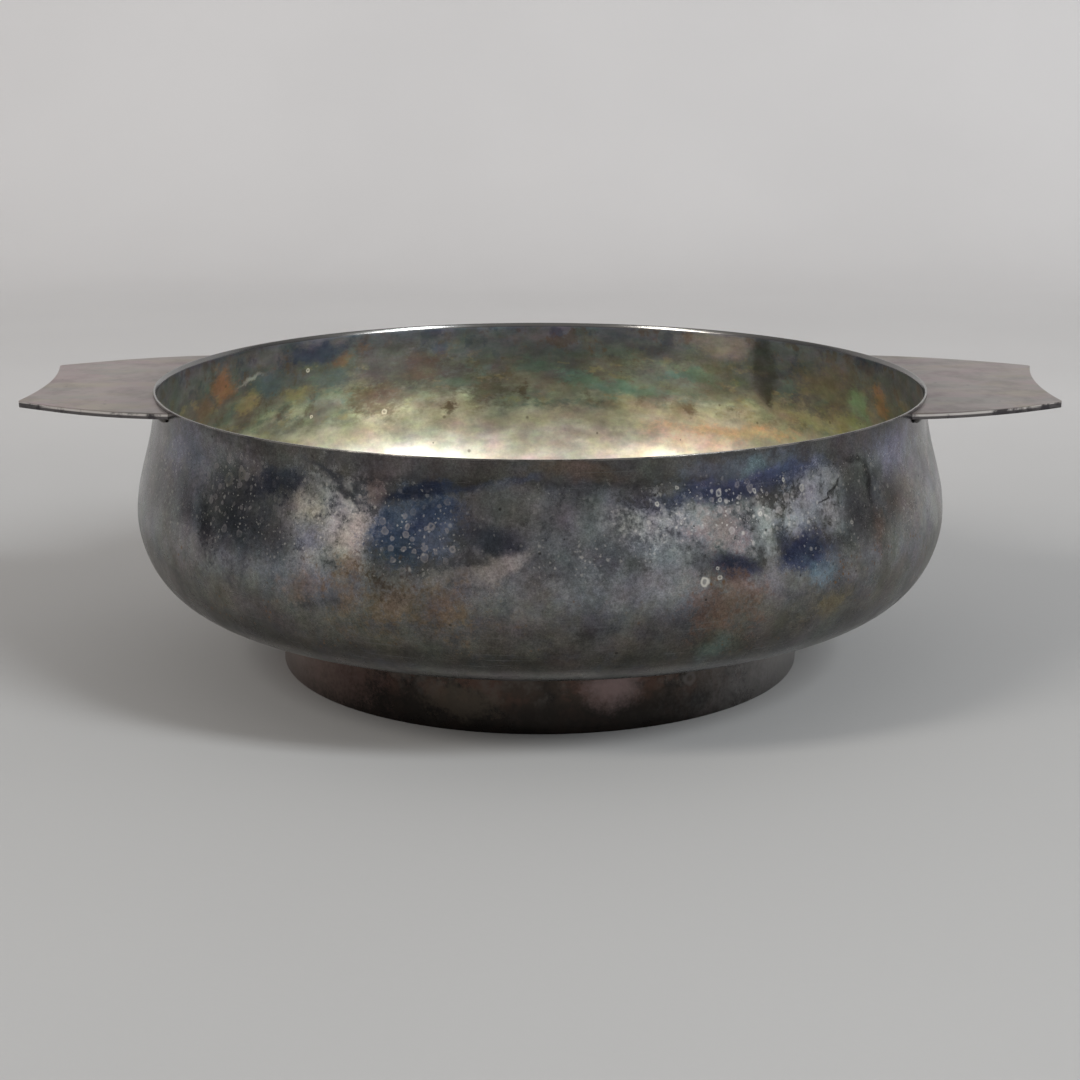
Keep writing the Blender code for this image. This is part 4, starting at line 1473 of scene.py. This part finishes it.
def foot_outline():
    """The band's section: round the edge, up the outside, over the top and down the inside."""
    outer = FOOT_RADIUS
    inner = FOOT_RADIUS - FOOT_SHEET
    top = underside_height(outer) + FOOT_TUCK
    line = []
    for i in range(FOOT_EDGE_POINTS + 1):
        turn = math.pi / 2 * i / FOOT_EDGE_POINTS
        line.append((outer - FOOT_EDGE * (1 - math.sin(turn)), FOOT_EDGE * (1 - math.cos(turn))))
    for i in range(1, FOOT_SIDE_POINTS + 1):
        line.append((outer, FOOT_EDGE + (top - FOOT_EDGE) * i / FOOT_SIDE_POINTS))
    for i in range(FOOT_SIDE_POINTS + 1):
        line.append((inner, top + (FOOT_EDGE - top) * i / FOOT_SIDE_POINTS))
    for i in range(1, FOOT_EDGE_POINTS + 1):
        turn = math.pi / 2 * i / FOOT_EDGE_POINTS
        line.append((inner + FOOT_EDGE * (1 - math.cos(turn)), FOOT_EDGE * (1 - math.sin(turn))))
    return line + line[:1]


foot = turned("ring_foot", foot_outline(), FOOT_STEPS, NO_INSIDE, FOOT_WAVES, foot_metal, foot_metal)
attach(foot, "root")
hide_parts("foot_ring")
report_piece(foot)

# %% [markdown]
# ## Handles
# Each handle is one flat plate: a hollow root that hugs the wall, two sides that bulge a little and
# a hollow outer end. Its top is a sheet stretched between those four edges, which keeps neat rows of
# quads; a Bevel rounds the rim of the plate, as filing does, and slow clouds warp it a little. The
# corners are blunt, and the far ones reach out further than the near ones, most on the right.

# %% Plate mesh
PLATE_THICKNESS = plate_high.z - plate_low.z
ROOT_HALF = plate_high.y
TIP_HALF = 0.030
SIDE_BULGE = 0.0033
END_HOLLOW = 0.003
TIP_REACH = plate_high.x
ROOT_TUCK = 0.0005
PLATE_ROUNDING = 0.00074
ROUNDING_STEPS = 3
SHARPEST_FLAT = math.radians(50.0)
PLATE_WARP = 0.00012
WARP_SIZE = 0.022
CORNER_ROUNDING = 0.0026
LEFT_STRETCH = 0.0021
RIGHT_STRETCH = 0.0052
PLATE_ROWS = 44
PLATE_COLUMNS = 72


def plate_point(along, across, side, stretch):
    """A point of the plate's plan: along from root to tip, across from one side to the other."""
    wall = wall_radius(PLATE_TOP - PLATE_THICKNESS / 2) - ROOT_TUCK
    reach = math.asin(ROOT_HALF / wall)
    turn = (2 * across - 1) * reach
    root = Vector((wall * math.cos(turn), wall * math.sin(turn)))
    hollow = END_HOLLOW * 4 * across * (1 - across)
    far = across if side > 0 else 1 - across
    from_corner = min(across, 1 - across) * 2 * TIP_HALF
    inward = max(CORNER_ROUNDING - from_corner, 0.0)
    blunt = CORNER_ROUNDING - math.sqrt(CORNER_ROUNDING ** 2 - inward ** 2)
    tip = Vector((TIP_REACH - hollow + stretch * far - blunt, (2 * across - 1) * TIP_HALF))
    bulge = SIDE_BULGE * 4 * along * (1 - along) * (2 * across - 1)
    return root.lerp(tip, along) + Vector((0.0, bulge))


def plate_warp(point, along, side):
    """How far slow clouds bend the plate down; the root stays where the solder holds it."""
    place = Vector((point.x, point.y, side)) / WARP_SIZE
    return PLATE_WARP * along * (noise.noise(place) - 1.0)


def plate_mesh(name, side, stretch):
    """Top and bottom sheets of quads joined round their edge; side is 1 for right and -1 for left."""
    mesh = bmesh.new()
    layers = []
    for z in (PLATE_TOP, PLATE_TOP - PLATE_THICKNESS):
        rows = []
        for i in range(PLATE_ROWS + 1):
            along = i / PLATE_ROWS
            plan = [plate_point(along, j / PLATE_COLUMNS, side, stretch) for j in range(PLATE_COLUMNS + 1)]
            row = [(side * p.x, side * p.y, z + plate_warp(p, along, side)) for p in plan]
            rows.append([mesh.verts.new(corner) for corner in row])
        layers.append(rows)
    for rows in layers:
        for i in range(PLATE_ROWS):
            for j in range(PLATE_COLUMNS):
                mesh.faces.new((rows[i][j], rows[i + 1][j], rows[i + 1][j + 1], rows[i][j + 1]))
    rims = []
    for rows in layers:
        loop = [rows[i][0] for i in range(PLATE_ROWS)]
        loop += rows[PLATE_ROWS][:-1]
        loop += [rows[i][-1] for i in range(PLATE_ROWS, 0, -1)]
        loop += rows[0][:0:-1]
        rims.append(loop)
    for i, vertex in enumerate(rims[0]):
        j = (i + 1) % len(rims[0])
        mesh.faces.new((vertex, rims[0][j], rims[1][j], rims[1][i]))
    bmesh.ops.recalc_face_normals(mesh, faces=mesh.faces)
    result = bpy.data.meshes.new(name)
    mesh.to_mesh(result)
    mesh.free()
    result.shade_smooth()
    return result


def make_plate(name, node, side, stretch):
    """A plate with a rounded edge, as a plain mesh."""
    piece = bpy.data.objects.new(name, plate_mesh(name, side, stretch))
    scene.collection.objects.link(piece)
    edge = piece.modifiers.new("filed_edge", "BEVEL")
    edge.width = PLATE_ROUNDING
    edge.segments = ROUNDING_STEPS
    edge.limit_method = "ANGLE"
    edge.angle_limit = SHARPEST_FLAT
    graph = bpy.context.evaluated_depsgraph_get()
    finished = bpy.data.meshes.new_from_object(piece.evaluated_get(graph), depsgraph=graph)
    piece.modifiers.clear()
    piece.data = finished
    piece.data.materials.append(handle_metal)
    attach(piece, "root")
    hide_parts(node)
    report_piece(piece)


make_plate("right_plate", "right_handle", 1, RIGHT_STRETCH)
make_plate("left_plate", "left_handle", -1, LEFT_STRETCH)

# %% [markdown]
# ## Solder seams
# Solder runs along a joint as a small lumpy bead that thins out at its ends. A second tree draws that:
# it follows a path, sweeps a round bead along it, thins the ends and roughens the skin.

# %% The bead tree
BEAD_INPUTS = (
    ("Geometry", "NodeSocketGeometry"),
    ("Bead Radius", "NodeSocketFloat"),
    ("End Taper", "NodeSocketFloat"),
    ("Lump Depth", "NodeSocketFloat"),
    ("Lump Size", "NodeSocketFloat"),
    ("Seed", "NodeSocketFloat"),
    ("Metal", "NodeSocketMaterial"),
)
BEAD_SIDES = 12
TAPER_START = 0.965
LUMP_DETAIL = (2.0, 0.5)


def make_bead_tree():
    """Sweep a lumpy bead along a path."""
    tree, given, result = new_tree(
        "solder_bead", "GeometryNodeTree", BEAD_INPUTS, "Geometry", "NodeSocketGeometry"
    )
    share = put("GeometryNodeSplineParameter", out="Factor", tree=tree)
    from_middle = sums("ABSOLUTE", either_way(share))
    taper = share_of(ease(from_middle, TAPER_START, 1.0), given["End Taper"])
    thick = share_of(sums("SUBTRACT", 1.0, taper), given["Bead Radius"])
    section = {"Resolution": BEAD_SIDES, "Radius": 1.0}
    round_section = put("GeometryNodeCurvePrimitiveCircle", section, tree=tree)
    sweep = {"Curve": given["Geometry"], "Profile Curve": round_section, "Scale": thick, "Fill Caps": True}
    bead = put("GeometryNodeCurveToMesh", sweep)
    lumps = random_push(given["Seed"], given["Lump Size"], given["Lump Depth"], *LUMP_DETAIL)
    push = scaled(put("GeometryNodeInputNormal", tree=tree), lumps)
    lumpy = put("GeometryNodeSetPosition", {"Geometry": bead, "Offset": push})
    tree.links.new(smooth_solid(lumpy, given["Metal"]), result)
    return tree


bead_tree = make_bead_tree()
print("bead tree:", len(bead_tree.nodes), "nodes")

# %% Seam beads
BEAD_RADIUS = 0.0009
BEAD_OFFSET = BEAD_RADIUS * 0.45
LUMP_DEPTH = 0.0002
LUMP_SIZE = 0.004
SEAM_TAPER = 0.85
SEAM_OVERRUN = -0.0004
SEAM_STEPS = 90
FOOT_SEAM_STEPS = 260


def arc_path(name, radius, height, middle, reach, steps, closed=False):
    """A level arc round the bowl's axis as a curve."""
    curve = bpy.data.curves.new(name, "CURVE")
    curve.dimensions = "3D"
    spline = curve.splines.new("POLY")
    count = steps if closed else steps + 1
    spline.points.add(count - 1)
    for i, point in enumerate(spline.points):
        turn = middle + reach * (2 * i / steps - 1)
        point.co = (radius * math.cos(turn), radius * math.sin(turn), height, 1.0)
    spline.use_cyclic_u = closed
    return curve


def make_seam(name, node, path, values):
    """A solder seam as a plain mesh on the root body."""
    settings = {
        "Bead Radius": BEAD_RADIUS,
        "Lump Depth": LUMP_DEPTH,
        "Lump Size": LUMP_SIZE,
        "Metal": solder_metal,
    }
    piece = made_by_tree(name, path, bead_tree, {**settings, **values})
    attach(piece, "root")
    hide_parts(node)
    report_piece(piece)


seam_height = PLATE_TOP - PLATE_THICKNESS - BEAD_OFFSET
seam_radius = wall_radius(seam_height) + BEAD_OFFSET
seam_reach = math.asin(ROOT_HALF / seam_radius) + SEAM_OVERRUN / seam_radius
for name, node, middle, seed in (
    ("right_seam", "right_handle_solder", 0.0, 1.0),
    ("left_seam", "left_handle_solder", math.pi, 2.0),
):
    path = arc_path(name + "_path", seam_radius, seam_height, middle, seam_reach, SEAM_STEPS)
    make_seam(name, node, path, {"End Taper": SEAM_TAPER, "Seed": seed})

foot_seam_radius = FOOT_RADIUS + BEAD_OFFSET
foot_seam_height = underside_height(foot_seam_radius) - BEAD_OFFSET
foot_seam = (foot_seam_radius, foot_seam_height, 0.0, math.pi, FOOT_SEAM_STEPS)
path = arc_path("foot_seam_path", *foot_seam, closed=True)
make_seam("foot_seam", "foot_solder", path, {"End Taper": 0.0, "Seed": 5.0})
